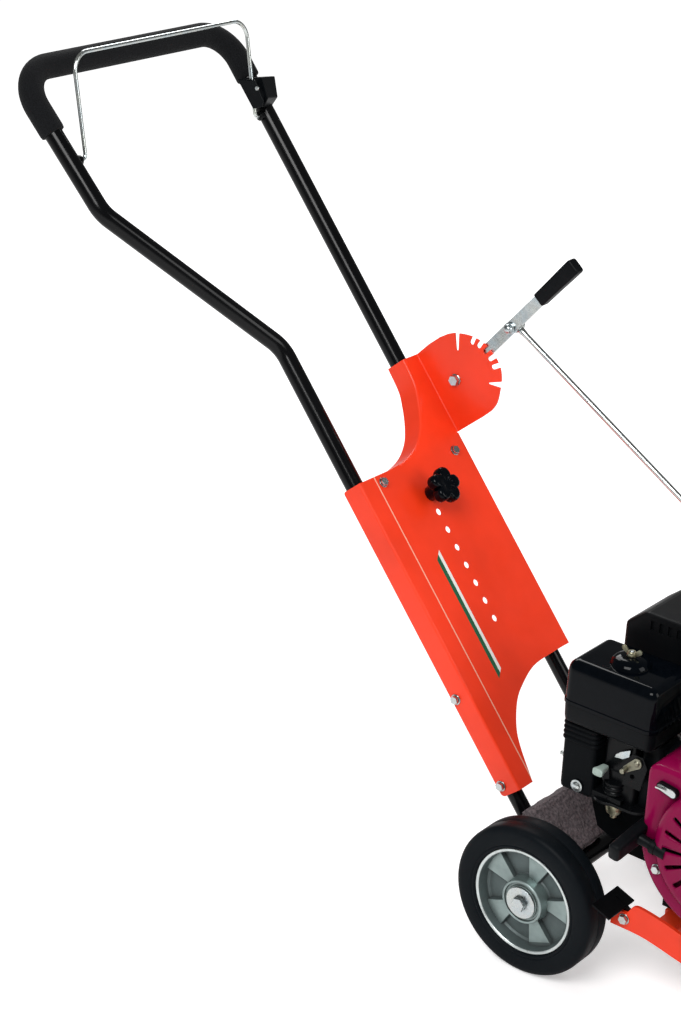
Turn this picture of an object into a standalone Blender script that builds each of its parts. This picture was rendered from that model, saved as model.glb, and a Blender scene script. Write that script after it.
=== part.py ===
"""Walk-behind bed edger with a small petrol engine.

The working frame has X forward, Y to the operator's left and Z up. Its zero is
below the middle of the rear axle. The empty bed_edger shifts that frame so that
the model's own origin lies on the ground under the middle of its bounding box.
"""
import math

import bmesh
import bpy
from mathutils import Matrix, Quaternion, Vector

# Clearances
SEAT = 0.0003
RUNNING = 0.0004
SLIDING = 0.0004

# Rear wheels and axle
WHEEL_RADIUS = 0.1050
WHEEL_WIDTH = 0.049
WHEEL_OUTER = 0.2125
AXLE_HEIGHT = 0.1015
FLOOR = AXLE_HEIGHT - WHEEL_RADIUS
RIM_RADIUS = 0.0746
HUB_RADIUS = 0.0310
AXLE_WASHER = 0.0220
AXLE_RADIUS = 0.0080
AXLE_TUBE_RADIUS = 0.0127
AXLE_TUBE_BORE = AXLE_RADIUS + SLIDING

# Tilted frame of the handle: its Z runs up the slope and its X points out of the panel
LEAN = math.radians(39.9)
TUBE_PLANE = -0.0242
TUBE_SPACING = 0.0995
HANDLE_RADIUS = 0.0127
UPRIGHT_RADIUS = 0.0111
UPRIGHT_BORE = 0.0092
UPRIGHT_LOW = -0.030
UPRIGHT_TOP = 0.600
HANDLE_LOW = 0.460
HANDLE_BEND_LOW = 0.800
HANDLE_BEND_HIGH = 1.050
HANDLE_TOP = 1.266
NEAR_SLANT_Y = -0.285
NEAR_TOP_Y = -0.306
FOAM_RADIUS = 0.0172
FOAM_NEAR_END = 1.172
FOAM_FAR_END = 1.202

# Bail
BAIL_PIVOT_HEIGHT = 1.128
HOUSING_LOW = 0.016
HOUSING_TOP = 0.062
BAIL_RADIUS = 0.0031
BAIL_CORNER = 0.006
BAIL_REACH = 0.138
BAIL_REST = math.radians(30.0)
BAIL_NEAR_Y = -0.2655
BAIL_FAR_Y = 0.0735

# Console panel
SHEET = 0.0025
PANEL_FACE = 0.0018
PANEL_SIDE = 0.1165
FLANGE_EDGE = -0.0322
PANEL_TOP_NEAR = 0.585
QUADRANT_HEIGHT = 0.660
QUADRANT_RISE = 0.0605
PANEL_TOP_FAR = QUADRANT_HEIGHT + QUADRANT_RISE
PANEL_LOW_NEAR = 0.123
PANEL_LOW_FAR = 0.259
HOLE_TOP = 0.532
HOLE_PITCH = 0.0275
HOLE_COUNT = 8
HOLE_RADIUS = 0.0050
STUD_RADIUS = 0.0040
GUIDE_BOLT_HEIGHT = 0.573
GUIDE_BOLT_NEAR = -0.0735
GUIDE_BOLT_FAR = 0.0885
SIDE_BOLT_HEIGHTS = (0.268, 0.138)

# Depth lever and quadrant
QUADRANT_OUT = 0.0436
QUADRANT_DROP = 0.0646
QUADRANT_EDGE = ((-65, 0.0701), (-54, 0.0736), (-37, 0.0756), (-29, 0.0783), (-15, 0.0818), (-6, 0.0815),
                 (4, 0.0799), (14, 0.0788), (25, 0.0754), (38, 0.0718), (48, 0.0690), (58, 0.0678))
NOTCH_FLOOR = 0.0675
NOTCH_WIDTH = 0.0068
NOTCHES = ((42.0, 0.043), (20.0, 0.0620), (10.0, 0.0650), (0.0, NOTCH_FLOOR),
           (-10.0, NOTCH_FLOOR), (-20.0, NOTCH_FLOOR), (-40.0, 0.055))
LEVER_ANGLE = math.radians(49.5)
LEVER_WIDTH = 0.016
LEVER_THICKNESS = 0.005
LEVER_INNER = PANEL_SIDE + 0.0007
LEVER_CRANK = 0.127
LEVER_GRIP_START = 0.196
LEVER_END = 0.276
PIVOT_RADIUS = 0.0050
ROD_RADIUS = 0.0040
ROD_SLOPE = math.radians(-31.2)
ROD_MIDDLE = 0.1335
EYE_WIDTH = 0.012
EYE_RADIUS = 0.0115

# Chassis
RAIL_HALF = 0.015
RAIL_START = AXLE_TUBE_RADIUS + SEAT
RAIL_END = 0.640
RAIL_TOP = AXLE_HEIGHT + RAIL_HALF
CENTRE_RAIL = 0.020
CROSS_START = 0.158
BED_START = 0.150
BED_END = 0.372
BED_SHEET = 0.004
ENGINE_BASE = 0.168
BALLAST_LOW = 0.0130
BALLAST_TOP = 0.096
BALLAST_BACK = -0.0128
BALLAST_FACE = 0.0200
BALLAST_NEAR = -0.125
BALLAST_FAR = -0.017

# Engine
CRANK_X = 0.272
CRANK_Z = 0.281
CRANKSHAFT_RADIUS = 0.010
ENGINE_FAR_FACE = 0.030
FAN_FACE = -0.2035
FAN_BACK = -0.1205
FAN_RADIUS = 0.115
FAN_TOP = 0.372
FAN_LEFT = 0.160
RECOIL_FACE = -0.2190
RECOIL_RADIUS = 0.088

# Cutter
CUTTER_X = 0.560
CUTTER_Z = 0.155
CUTTER_SHAFT_RADIUS = 0.010
CUTTER_RADIUS = 0.138
CUTTER_DISC_RADIUS = 0.095
CUTTER_MIDDLE = -0.140
HOOD_RADIUS = 0.153
HOOD_SHEET = 0.002
HOOD_INNER_SIDE = -0.1148
HOOD_OUTER_SIDE = -0.1660

# Belt
DRIVE_PULLEY = 0.0300
DRIVEN_PULLEY = 0.0400
PULLEY_MIDDLE = 0.0690
PULLEY_WIDTH = 0.020
BELT_WIDTH = 0.010
BELT_INSET = 0.0015
BELT_THICKNESS = 0.006

# Front lift
LIFT_X = 0.405
LIFT_SHAFT_RADIUS = 0.009
GAUGE_RADIUS = 0.0790
GAUGE_WIDTH = 0.036
GAUGE_X = 0.540
GAUGE_AXLE = 0.005
GAUGE_NEAR_INNER = -0.1900
GAUGE_FAR_INNER = 0.1500
CRANK_PLATE = 0.005
CRANK_PLATE_INNER = 0.1195

# Middle of the bounding box in the working frame
MIDDLE_X = -0.0675
MIDDLE_Y = -0.0493

for old in list(bpy.data.objects):
    bpy.data.objects.remove(old)

COLLECTION = bpy.context.scene.collection


def material(name, colour, roughness, metallic=0.0):
    made = bpy.data.materials.new(name)
    made.use_nodes = True
    shader = made.node_tree.nodes["Principled BSDF"]
    shader.inputs["Base Color"].default_value = (*colour, 1.0)
    shader.inputs["Roughness"].default_value = roughness
    shader.inputs["Metallic"].default_value = metallic
    return made


ORANGE = (0.80, 0.12, 0.02)
BLACK_PAINT = (0.012, 0.012, 0.013)
ZINC = (0.62, 0.62, 0.60)
CAST = (0.50, 0.50, 0.49)
FAN_RED = (0.35, 0.01, 0.04)


def empty(name, parent=None, location=(0, 0, 0), rotation=(0, 0, 0)):
    made = bpy.data.objects.new(name, None)
    COLLECTION.objects.link(made)
    made.parent = parent
    made.location = location
    made.rotation_euler = rotation
    return made


FRAME = empty("bed_edger", location=(-MIDDLE_X, -MIDDLE_Y, -FLOOR))
SLOPE = empty("handle_frame", FRAME, (0, 0, AXLE_HEIGHT), (0, -LEAN, 0))


def link(name, bm, look, parent, origin=(0, 0, 0), smooth=True):
    """Makes the object from a bmesh in the parent's frame, with its own origin at origin."""
    bmesh.ops.translate(bm, verts=bm.verts, vec=-Vector(origin))
    bmesh.ops.remove_doubles(bm, verts=bm.verts, dist=1e-6)
    bmesh.ops.recalc_face_normals(bm, faces=bm.faces)
    mesh = bpy.data.meshes.new(name)
    bm.to_mesh(mesh)
    bm.free()
    made = bpy.data.objects.new(name, mesh)
    COLLECTION.objects.link(made)
    made.parent = parent
    made.location = origin
    if look is not None:
        mesh.materials.append(look)
    if smooth:
        for face in mesh.polygons:
            face.use_smooth = True
        mesh.set_sharp_from_angle(angle=math.radians(35))
    return made


def box(low, high):
    bm = bmesh.new()
    bmesh.ops.create_cube(bm, size=1.0)
    size = Vector(high) - Vector(low)
    middle = (Vector(high) + Vector(low)) / 2
    bmesh.ops.scale(bm, vec=size, verts=bm.verts)
    bmesh.ops.translate(bm, vec=middle, verts=bm.verts)
    return bm


def turn_to(bm, axis):
    """Turns a shape built around Z so that Z becomes the given direction."""
    matrix = Vector((0, 0, 1)).rotation_difference(Vector(axis)).to_matrix().to_4x4()
    bmesh.ops.transform(bm, matrix=matrix, verts=bm.verts)


def rod(start, end, radius, sides=24):
    """A round bar from start to end."""
    start = Vector(start)
    along = Vector(end) - start
    bm = bmesh.new()
    bmesh.ops.create_cone(bm, cap_ends=True, segments=sides, radius1=radius, radius2=radius,
                          depth=along.length)
    bmesh.ops.translate(bm, vec=(0, 0, along.length / 2), verts=bm.verts)
    turn_to(bm, along.normalized())
    bmesh.ops.translate(bm, vec=start, verts=bm.verts)
    return bm


def turned(profile, centre, axis=(0, 1, 0), sides=32):
    """Turns a closed profile of (radius, height) points about the axis through centre."""
    bm = bmesh.new()
    rings = []
    for step in range(sides):
        angle = 2 * math.pi * step / sides
        rings.append([
            bm.verts.new((r * math.cos(angle), r * math.sin(angle), h)) for r, h in profile
        ])
    count = len(profile)
    for step in range(sides):
        here = rings[step]
        there = rings[(step + 1) % sides]
        for n in range(count):
            m = (n + 1) % count
            corners = [here[n], there[n], there[m], here[m]]
            if profile[n][0] < 1e-9 and profile[m][0] < 1e-9:
                continue
            bm.faces.new(corners)
    bmesh.ops.remove_doubles(bm, verts=bm.verts, dist=1e-7)
    turn_to(bm, Vector(axis).normalized())
    bmesh.ops.translate(bm, vec=centre, verts=bm.verts)
    return bm


def ring(outer, inner, low, high, centre, axis=(0, 1, 0), sides=32):
    return turned([(inner, low), (outer, low), (outer, high), (inner, high)], centre, axis, sides)


def bolt(centre, axis, head, across, shank, length, washer=0.0):
    """A hex bolt on the surface at centre, with its head along axis and its shank the other way."""
    sides = 6
    bm = bmesh.new()
    rings = []
    steps = [(shank, -length, 12), (shank, 0.0, 12)]
    if washer:
        steps += [(washer, 0.0, 12), (washer, 0.0012, 12)]
        base = 0.0012
    else:
        base = 0.0
    hex_radius = across / math.sqrt(3)
    steps += [(hex_radius, base, 0), (hex_radius, base + head, 0)]
    for radius, height, kind in steps:
        verts = []
        for step in range(2 * sides):
            angle = math.pi * step / sides
            r = radius
            if not kind and step % 2:
                r = radius * math.cos(math.pi / sides)
            verts.append(bm.verts.new((r * math.cos(angle), r * math.sin(angle), height)))
        rings.append(verts)
    for low, high in zip(rings, rings[1:]):
        for step in range(2 * sides):
            after = (step + 1) % (2 * sides)
            bm.faces.new([low[step], low[after], high[after], high[step]])
    bm.faces.new(list(reversed(rings[0])))
    bm.faces.new(rings[-1])
    turn_to(bm, Vector(axis).normalized())
    bmesh.ops.translate(bm, vec=centre, verts=bm.verts)
    return bm


def rounded(points, radius, steps=6):
    """Rounds the corners of an open path of 3-D points."""
    points = [Vector(p) for p in points]
    out = [points[0]]
    for before, here, after in zip(points, points[1:], points[2:]):
        a = (before - here).normalized()
        b = (after - here).normalized()
        half = a.angle(b) / 2
        reach = min(radius / math.tan(half), (before - here).length * 0.49, (after - here).length * 0.49)
        bend = reach * math.tan(half)
        centre = here + (a + b).normalized() * (bend / math.sin(half))
        start = here + a * reach - centre
        spin = start.rotation_difference(here + b * reach - centre)
        for step in range(steps + 1):
            turn = Quaternion(spin.axis, spin.angle * step / steps)
            out.append(centre + turn @ start)
    out.append(points[-1])
    return out


def swept(path, radius, sides=16):
    """A round bar along an open path."""
    path = [Vector(p) for p in path]
    bm = bmesh.new()
    rings = []
    tangent = (path[1] - path[0]).normalized()
    side = tangent.orthogonal().normalized()
    for n, point in enumerate(path):
        before = path[max(n - 1, 0)]
        after = path[min(n + 1, len(path) - 1)]
        incoming = (point - before).normalized() if n else (after - point).normalized()
        outgoing = (after - point).normalized() if n < len(path) - 1 else incoming
        new = (incoming + outgoing).normalized()
        side = tangent.rotation_difference(new) @ side
        tangent = new
        other = tangent.cross(side)
        rings.append([
            bm.verts.new(point + radius * (side * math.cos(2 * math.pi * k / sides)
                                           + other * math.sin(2 * math.pi * k / sides)))
            for k in range(sides)
        ])
    for low, high in zip(rings, rings[1:]):
        for k in range(sides):
            m = (k + 1) % sides
            bm.faces.new([low[k], low[m], high[m], high[k]])
    bm.faces.new(list(reversed(rings[0])))
    bm.faces.new(rings[-1])
    return bm


def arc(centre, radius, start, end, steps):
    """Points of an arc in degrees, both ends included."""
    return [
        (centre[0] + radius * math.cos(math.radians(start + (end - start) * n / steps)),
         centre[1] + radius * math.sin(math.radians(start + (end - start) * n / steps)))
        for n in range(steps + 1)
    ]


def circle(centre, radius, sides=16):
    return arc(centre, radius, 0, 360, sides)[:-1]


def plate(outline, low, high, plane="XZ", holes=()):
    """A flat plate with holes. The outline lies in the named plane, and low to high is its thickness."""
    curve = bpy.data.curves.new("outline", "CURVE")
    curve.dimensions = "2D"
    curve.fill_mode = "BOTH"
    curve.extrude = (high - low) / 2
    for loop in (outline, *holes):
        spline = curve.splines.new("POLY")
        spline.points.add(len(loop) - 1)
        for point, (a, b) in zip(spline.points, loop):
            point.co = (a, b, 0, 1)
        spline.use_cyclic_u = True
    holder = bpy.data.objects.new("outline", curve)
    COLLECTION.objects.link(holder)
    bpy.context.view_layer.update()
    mesh = bpy.data.meshes.new_from_object(holder.evaluated_get(bpy.context.evaluated_depsgraph_get()))
    bpy.data.objects.remove(holder)
    bpy.data.curves.remove(curve)
    bm = bmesh.new()
    bm.from_mesh(mesh)
    bpy.data.meshes.remove(mesh)
    bmesh.ops.remove_doubles(bm, verts=bm.verts, dist=1e-6)
    bmesh.ops.translate(bm, vec=(0, 0, (high + low) / 2), verts=bm.verts)
    if plane == "XZ":
        matrix = Matrix(((1, 0, 0, 0), (0, 0, 1, 0), (0, 1, 0, 0), (0, 0, 0, 1)))
    elif plane == "YZ":
        matrix = Matrix(((0, 0, 1, 0), (1, 0, 0, 0), (0, 1, 0, 0), (0, 0, 0, 1)))
    else:
        matrix = Matrix.Identity(4)
    bmesh.ops.transform(bm, matrix=matrix, verts=bm.verts)
    bmesh.ops.recalc_face_normals(bm, faces=bm.faces)
    return bm


def hull_outline(circles, steps=8):
    """The outline around several circles, as a belt pulled round them would lie."""
    points = []
    for centre, radius in circles:
        points += circle(centre, radius, steps * 4)
    points = sorted(set((round(a, 7), round(b, 7)) for a, b in points))

    def half(sequence):
        chain = []
        for p in sequence:
            while len(chain) > 1:
                (ax, ay), (bx, by) = chain[-2], chain[-1]
                if (bx - ax) * (p[1] - ay) - (by - ay) * (p[0] - ax) > 1e-12:
                    break
                chain.pop()
            chain.append(p)
        return chain[:-1]

    return half(points) + half(list(reversed(points)))


def cutter(bm, parent, name):
    made = link(name, bm, None, parent, smooth=False)
    made.hide_render = True
    made.display_type = "WIRE"
    return made


def boolean(target, other, operation):
    step = target.modifiers.new(operation.lower(), "BOOLEAN")
    step.operation = operation
    step.object = other


def weld(target, bm, parent, name):
    """Unites a further shape with the target, as a weld would."""
    boolean(target, cutter(bm, parent, name), "UNION")


def bevel(target, width, segments=2, angle=30):
    step = target.modifiers.new("bevel", "BEVEL")
    step.width = width
    step.segments = segments
    step.limit_method = "ANGLE"
    step.angle_limit = math.radians(angle)
    return step


def smooth_curve(points, steps=5):
    """A smooth line through flat points."""
    out = []
    last = len(points) - 1
    for n in range(last):
        p0 = Vector(points[max(n - 1, 0)])
        p1 = Vector(points[n])
        p2 = Vector(points[n + 1])
        p3 = Vector(points[min(n + 2, last)])
        for step in range(steps):
            t = step / steps
            out.append(tuple(0.5 * (2 * p1 + (p2 - p0) * t + (2 * p0 - 5 * p1 + 4 * p2 - p3) * t * t
                                    + (3 * p1 - p0 - 3 * p2 + p3) * t * t * t)))
    out.append(tuple(points[last]))
    return out


dark_orange = material("chassis_orange", (0.62, 0.09, 0.015), 0.4)


# Rear axle and wheels
def wheel(prefix, centre, radius, width, bore, spokes):
    """A solid rubber tyre on a cast rim with broad raised spokes, both turning about Y through centre."""
    half = width / 2
    lip = radius * 0.03
    tyre = turned([
        (RIM_RADIUS + SEAT, -half * 0.86), (RIM_RADIUS + lip, -half * 0.98), (radius * 0.90, -half),
        (radius * 0.97, -half * 0.94), (radius, -half * 0.72), (radius, half * 0.72), (radius * 0.97,
                                                                                       half * 0.94),
        (radius * 0.90, half), (RIM_RADIUS + lip, half * 0.98), (RIM_RADIUS + SEAT, half * 0.86),
    ], centre, sides=40)
    rubber = material(prefix + "_tyre_rubber", (0.015, 0.015, 0.016), 0.7)
    alloy = material(prefix + "_rim_alloy", (0.60, 0.60, 0.60), 0.35, 0.9)
    link(prefix + "_tyre", tyre, rubber, FRAME, centre)
    rim = turned([
        (RIM_RADIUS * 0.93, -half * 0.80), (RIM_RADIUS, -half * 0.86), (RIM_RADIUS, half * 0.86),
        (RIM_RADIUS * 0.93, half * 0.80),
    ], centre, sides=40)
    rim_object = link(prefix + "_rim", rim, alloy, FRAME, centre)
    web = plate(circle((0, 0), RIM_RADIUS * 0.96, 30), -half * 0.10, half * 0.10, "XZ",
                [circle((0, 0), HUB_RADIUS * 0.6, 12)])
    bmesh.ops.translate(web, vec=centre, verts=web.verts)
    weld(rim_object, web, FRAME, prefix + "_web_shape")
    weld(rim_object, ring(HUB_RADIUS, bore + RUNNING, -half * 0.92, half * 0.92, centre, sides=20), FRAME,
         prefix + "_hub_shape")
    for n in range(spokes):
        middle = 5 + 360 * n / spokes
        spoke = plate(arc((0, 0), HUB_RADIUS * 0.88, middle - 14, middle + 14, 2)
                      + arc((0, 0), RIM_RADIUS * 0.965, middle + 16, middle - 16, 3), -half * 0.37,
                      half * 0.37)
        bmesh.ops.translate(spoke, vec=centre, verts=spoke.verts)
        weld(rim_object, spoke, FRAME, f"{prefix}_spoke_{n + 1}")


WHEEL_MIDDLE = WHEEL_OUTER - WHEEL_WIDTH / 2
wheel("right_wheel", (0, -WHEEL_MIDDLE, AXLE_HEIGHT), WHEEL_RADIUS, WHEEL_WIDTH, AXLE_RADIUS, 5)
wheel("left_wheel", (0, WHEEL_MIDDLE, AXLE_HEIGHT), WHEEL_RADIUS, WHEEL_WIDTH, AXLE_RADIUS, 5)

AXLE_TUBE_END = WHEEL_OUTER - WHEEL_WIDTH - 0.004
tube = turned([(AXLE_TUBE_BORE, -AXLE_TUBE_END), (AXLE_TUBE_RADIUS, -AXLE_TUBE_END),
               (AXLE_TUBE_RADIUS, AXLE_TUBE_END), (AXLE_TUBE_BORE, AXLE_TUBE_END)],
              (0, 0, AXLE_HEIGHT), sides=28)
link("axle_tube", tube, material("axle_tube_black", BLACK_PAINT, 0.4), FRAME)
AXLE_END = WHEEL_OUTER - 0.0010
axle = rod((0, -AXLE_END, AXLE_HEIGHT), (0, AXLE_END - 0.0100, AXLE_HEIGHT), AXLE_RADIUS, 20)
axle_object = link("rear_axle", axle, material("rear_axle_zinc", ZINC, 0.35, 0.9), FRAME)
axle_head = bolt((0, -AXLE_END, AXLE_HEIGHT), (0, -1, 0), 0.0065, 0.0180, 0.0050, 0.0030, AXLE_WASHER)
weld(axle_object, axle_head, FRAME, "axle_head_shape")
axle_nut = bolt((0, AXLE_END, AXLE_HEIGHT), (0, 1, 0), 0.0065, 0.0180, 0.0050, 0.0095, AXLE_WASHER)
link("axle_end_bolt", axle_nut, material("axle_bolt_zinc", ZINC, 0.35, 0.9), FRAME)

# Lower uprights
for name, y in (("right_upright", -TUBE_SPACING), ("left_upright", TUBE_SPACING)):
    upright = turned([(UPRIGHT_BORE, UPRIGHT_LOW), (UPRIGHT_RADIUS, UPRIGHT_LOW),
                      (UPRIGHT_RADIUS, UPRIGHT_TOP), (UPRIGHT_BORE, UPRIGHT_TOP)],
                     (TUBE_PLANE, y, 0), (0, 0, 1), 24)
    link(name, upright, material(name + "_black", BLACK_PAINT, 0.4), SLOPE)

# Chassis, welded from three rails, two cross members and the bearing plates
def rail_shape(middle, start, end):
    low = middle - RAIL_HALF
    return box((start, low, AXLE_HEIGHT - RAIL_HALF), (end, low + 2 * RAIL_HALF, RAIL_TOP))


slope_matrix = Matrix.Translation((0, 0, AXLE_HEIGHT)) @ Matrix.Rotation(-LEAN, 4, "Y")
QUADRANT_AT = slope_matrix @ Vector((QUADRANT_OUT, 0, QUADRANT_HEIGHT))
CRANK_OFFSET = Vector((math.cos(LEVER_ANGLE), 0, math.sin(LEVER_ANGLE))) * LEVER_CRANK
ROD_REAR = QUADRANT_AT + CRANK_OFFSET
LIFT_Z = ROD_REAR.z + (LIFT_X + CRANK_OFFSET.x - ROD_REAR.x) * math.tan(ROD_SLOPE) - CRANK_OFFSET.z
LIFT_AT = Vector((LIFT_X, 0, LIFT_Z))
ROD_FRONT = LIFT_AT + CRANK_OFFSET
ARM_OUTER = -0.1713
ARM_INNER = -0.1663
WELD = 0.0006

chassis = link("chassis_frame", rail_shape(-TUBE_SPACING, CROSS_START, RAIL_END), dark_orange, FRAME,
               smooth=False)
weld(chassis, rail_shape(TUBE_SPACING, RAIL_START, RAIL_END), FRAME, "left_rail_shape")
cross_side = TUBE_SPACING - RAIL_HALF + WELD
for name, start, end in (("front_cross_shape", RAIL_END - 0.030, RAIL_END - WELD),
                         ("rear_cross_shape", CROSS_START + WELD, CROSS_START + 0.030)):
    cross = box((start, -cross_side, AXLE_HEIGHT - RAIL_HALF + WELD), (end, cross_side, RAIL_TOP - WELD))
    weld(chassis, cross, FRAME, name)
centre_rail = box((RAIL_START, CENTRE_RAIL - RAIL_HALF, AXLE_HEIGHT - RAIL_HALF + 2 * WELD),
                  (CROSS_START + 0.010, CENTRE_RAIL + RAIL_HALF, RAIL_TOP - 2 * WELD))
weld(chassis, centre_rail, FRAME, "centre_rail_shape")
outrigger = box((0.163, ARM_INNER + SEAT, 0.1060), (0.188, -TUBE_SPACING, RAIL_TOP - WELD))
weld(chassis, outrigger, FRAME, "outrigger_shape")
for name, side in (("right_lift_bearing", -1), ("left_lift_bearing", 1)):
    inner_face = side * (TUBE_SPACING + RAIL_HALF - WELD)
    outer_face = side * (TUBE_SPACING + RAIL_HALF + 0.004)
    bearing = plate(
        [(LIFT_X - 0.018, AXLE_HEIGHT), (LIFT_X + 0.018, AXLE_HEIGHT)] + arc((LIFT_X, LIFT_Z), 0.018, 0,
                                                                             180, 6),
        min(inner_face, outer_face), max(inner_face, outer_face), "XZ",
        [circle((LIFT_X, LIFT_Z), LIFT_SHAFT_RADIUS + RUNNING, 16)])
    weld(chassis, bearing, FRAME, name)
PILLOW_HALF = 0.013
for name, side in (("right_pillow", -1), ("left_pillow", 1)):
    middle = side * TUBE_SPACING
    pillow = plate(
        [(CUTTER_X - 0.030, RAIL_TOP - WELD), (CUTTER_X + 0.030, RAIL_TOP - WELD), (CUTTER_X + 0.030,
                                                                                    RAIL_TOP + 0.010)]
        + arc((CUTTER_X, CUTTER_Z), 0.021, 0, 180, 6) + [(CUTTER_X - 0.030, RAIL_TOP + 0.010)],
        middle - PILLOW_HALF, middle + PILLOW_HALF, "XZ",
        [circle((CUTTER_X, CUTTER_Z), CUTTER_SHAFT_RADIUS + RUNNING, 16)])
    weld(chassis, pillow, FRAME, name)
# Ballast block, which lies on the axle tube in front of the right upright
ballast = link("ballast_block", box((BALLAST_BACK, BALLAST_NEAR, BALLAST_LOW), (BALLAST_FACE, BALLAST_FAR,
                                                                                BALLAST_TOP)),
               material("ballast_cast", (0.06, 0.05, 0.045), 0.9), SLOPE, smooth=False)
bevel(ballast, 0.003, 2)
bed_low = RAIL_TOP + SEAT
bed_top = ENGINE_BASE - SEAT
bed_side = TUBE_SPACING + 0.010
bed = plate([(-bed_side, bed_low), (-bed_side + BED_SHEET, bed_low), (-bed_side + BED_SHEET,
                                                                      bed_top - BED_SHEET),
             (bed_side - BED_SHEET, bed_top - BED_SHEET), (bed_side - BED_SHEET, bed_low), (bed_side,
                                                                                            bed_low),
             (bed_side, bed_top), (-bed_side, bed_top)], BED_START, BED_END, "YZ")
link("engine_bed", bed, material("bed_orange", (0.62, 0.09, 0.015), 0.4), FRAME, smooth=False)

# Side arm and wheel scraper on the right
top = [(0.112, 0.1265), (0.1340, 0.1265)] + smooth_curve([
    (0.1420, 0.1395), (0.152, 0.1425), (0.185, 0.1380), (0.220, 0.1300), (0.260, 0.1235),
    (0.330, 0.1220), (0.500, 0.1220)], 3)
bottom = smooth_curve([(0.500, 0.0880), (0.330, 0.0880), (0.260, 0.0880), (0.220, 0.0915), (0.185, 0.0985),
                       (0.155, 0.1030), (0.112, 0.1030)], 3)
arm_bolts = ((0.132, 0.1180),)
arm = plate(top + bottom, ARM_OUTER, ARM_INNER, "XZ", [circle(p, 0.0033, 12) for p in arm_bolts])
link("side_arm", arm, material("side_arm_orange", ORANGE, 0.35), FRAME)
SCRAPER_TAB = ARM_INNER + SEAT
tab = plate([(0.1135, 0.1075), (0.142, 0.1075), (0.142, 0.1275), (0.1135, 0.1420)],
            SCRAPER_TAB, SCRAPER_TAB + 0.003, "XZ", [circle(arm_bolts[0], 0.0033, 12)])
scraper = link("wheel_scraper", tab, material("scraper_black", BLACK_PAINT, 0.45), FRAME)
blade = plate([(0.1025, 0.1408), (0.1295, 0.1309), (0.1305, 0.1336), (0.1035, 0.1435)],
              -0.2060, -0.1475, "XZ")
boolean(scraper, cutter(blade, FRAME, "scraper_blade_shape"), "UNION")
scraper_bolt = bolt((arm_bolts[0][0], ARM_OUTER - SEAT, arm_bolts[0][1]), (0, -1, 0), 0.0045, 0.0115,
                    0.0030, 0.010, 0.0075)
link("scraper_bolt", scraper_bolt, material("scraper_bolt_zinc", ZINC, 0.35, 0.9), FRAME)

# Console panel, folded from one sheet
INNER = PANEL_FACE - SHEET
# Shares of the rise from the near end of the panel's top to its far end
S_SHARES = ((-0.0432, 0.002952030), (-0.0191, 0.022140221), (0.0050, 0.065682657),
            (0.0260, 0.140221402), (0.0443, 0.250184502), (0.0600, 0.409594096),
            (0.0720, 0.579335793), (0.0800, 0.738007380))
s_cut = smooth_curve([(-0.060, PANEL_TOP_NEAR)]
                     + [(y, PANEL_TOP_NEAR + (PANEL_TOP_FAR - PANEL_TOP_NEAR) * share)
                        for y, share in S_SHARES]
                     + [(0.0825, PANEL_TOP_FAR)], 2)
low_cut = smooth_curve([(0.0765, PANEL_LOW_FAR), (0.0255, 0.256), (-0.0165, 0.240), (-0.0405, 0.224),
                        (-0.0635, 0.197), (-0.0750, 0.171), (-0.0860, PANEL_LOW_NEAR)], 2)
outline = ([(-PANEL_SIDE, PANEL_TOP_NEAR)] + s_cut
           + [(PANEL_SIDE, PANEL_TOP_FAR), (PANEL_SIDE, PANEL_LOW_FAR)] + low_cut
           + [(-PANEL_SIDE, PANEL_LOW_NEAR)])
holes = [circle((0, HOLE_TOP - HOLE_PITCH * n), HOLE_RADIUS, 10) for n in range(HOLE_COUNT)]
holes += [circle((y, GUIDE_BOLT_HEIGHT), 0.0034, 12) for y in (GUIDE_BOLT_NEAR, GUIDE_BOLT_FAR)]
face = plate(outline, INNER, PANEL_FACE, "YZ", holes)
panel = link("console_panel", face, material("panel_orange", ORANGE, 0.35), SLOPE)
near = plate([(FLANGE_EDGE, PANEL_TOP_NEAR), (PANEL_FACE - 0.0003, PANEL_TOP_NEAR),
              (PANEL_FACE - 0.0003, PANEL_LOW_NEAR), (FLANGE_EDGE, PANEL_LOW_NEAR)],
             -PANEL_SIDE, -PANEL_SIDE + SHEET, "XZ",
             [circle((TUBE_PLANE, h), 0.0034, 12) for h in SIDE_BOLT_HEIGHTS])
boolean(panel, cutter(near, SLOPE, "near_flange_shape"), "UNION")
far_top = QUADRANT_HEIGHT - QUADRANT_DROP
far = plate([(FLANGE_EDGE, far_top), (PANEL_FACE - 0.0003, far_top), (PANEL_FACE - 0.0003, PANEL_LOW_FAR),
             (FLANGE_EDGE, PANEL_LOW_FAR)],
            PANEL_SIDE - SHEET, PANEL_SIDE, "XZ")
boolean(panel, cutter(far, SLOPE, "far_flange_shape"), "UNION")
S_FLANGE_START = 4
outside = [Vector(p) for p in s_cut[S_FLANGE_START:]]
outside[-1] = outside[-1] - Vector((0, 0.0006))
inside = []
for n, here in enumerate(outside):
    heading = outside[min(n + 1, len(outside) - 1)] - outside[max(n - 1, 0)]
    inside.append(here + Vector((heading.y, -heading.x)).normalized() * SHEET)
lip = plate([tuple(p) for p in outside + list(reversed(inside))], FLANGE_EDGE, PANEL_FACE - 0.0003, "YZ")
boolean(panel, cutter(lip, SLOPE, "top_flange_shape"), "UNION")
pivot = (QUADRANT_OUT, QUADRANT_HEIGHT)
rest = math.degrees(LEVER_ANGLE) - math.degrees(LEAN)
half_slot = NOTCH_WIDTH / 2


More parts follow.
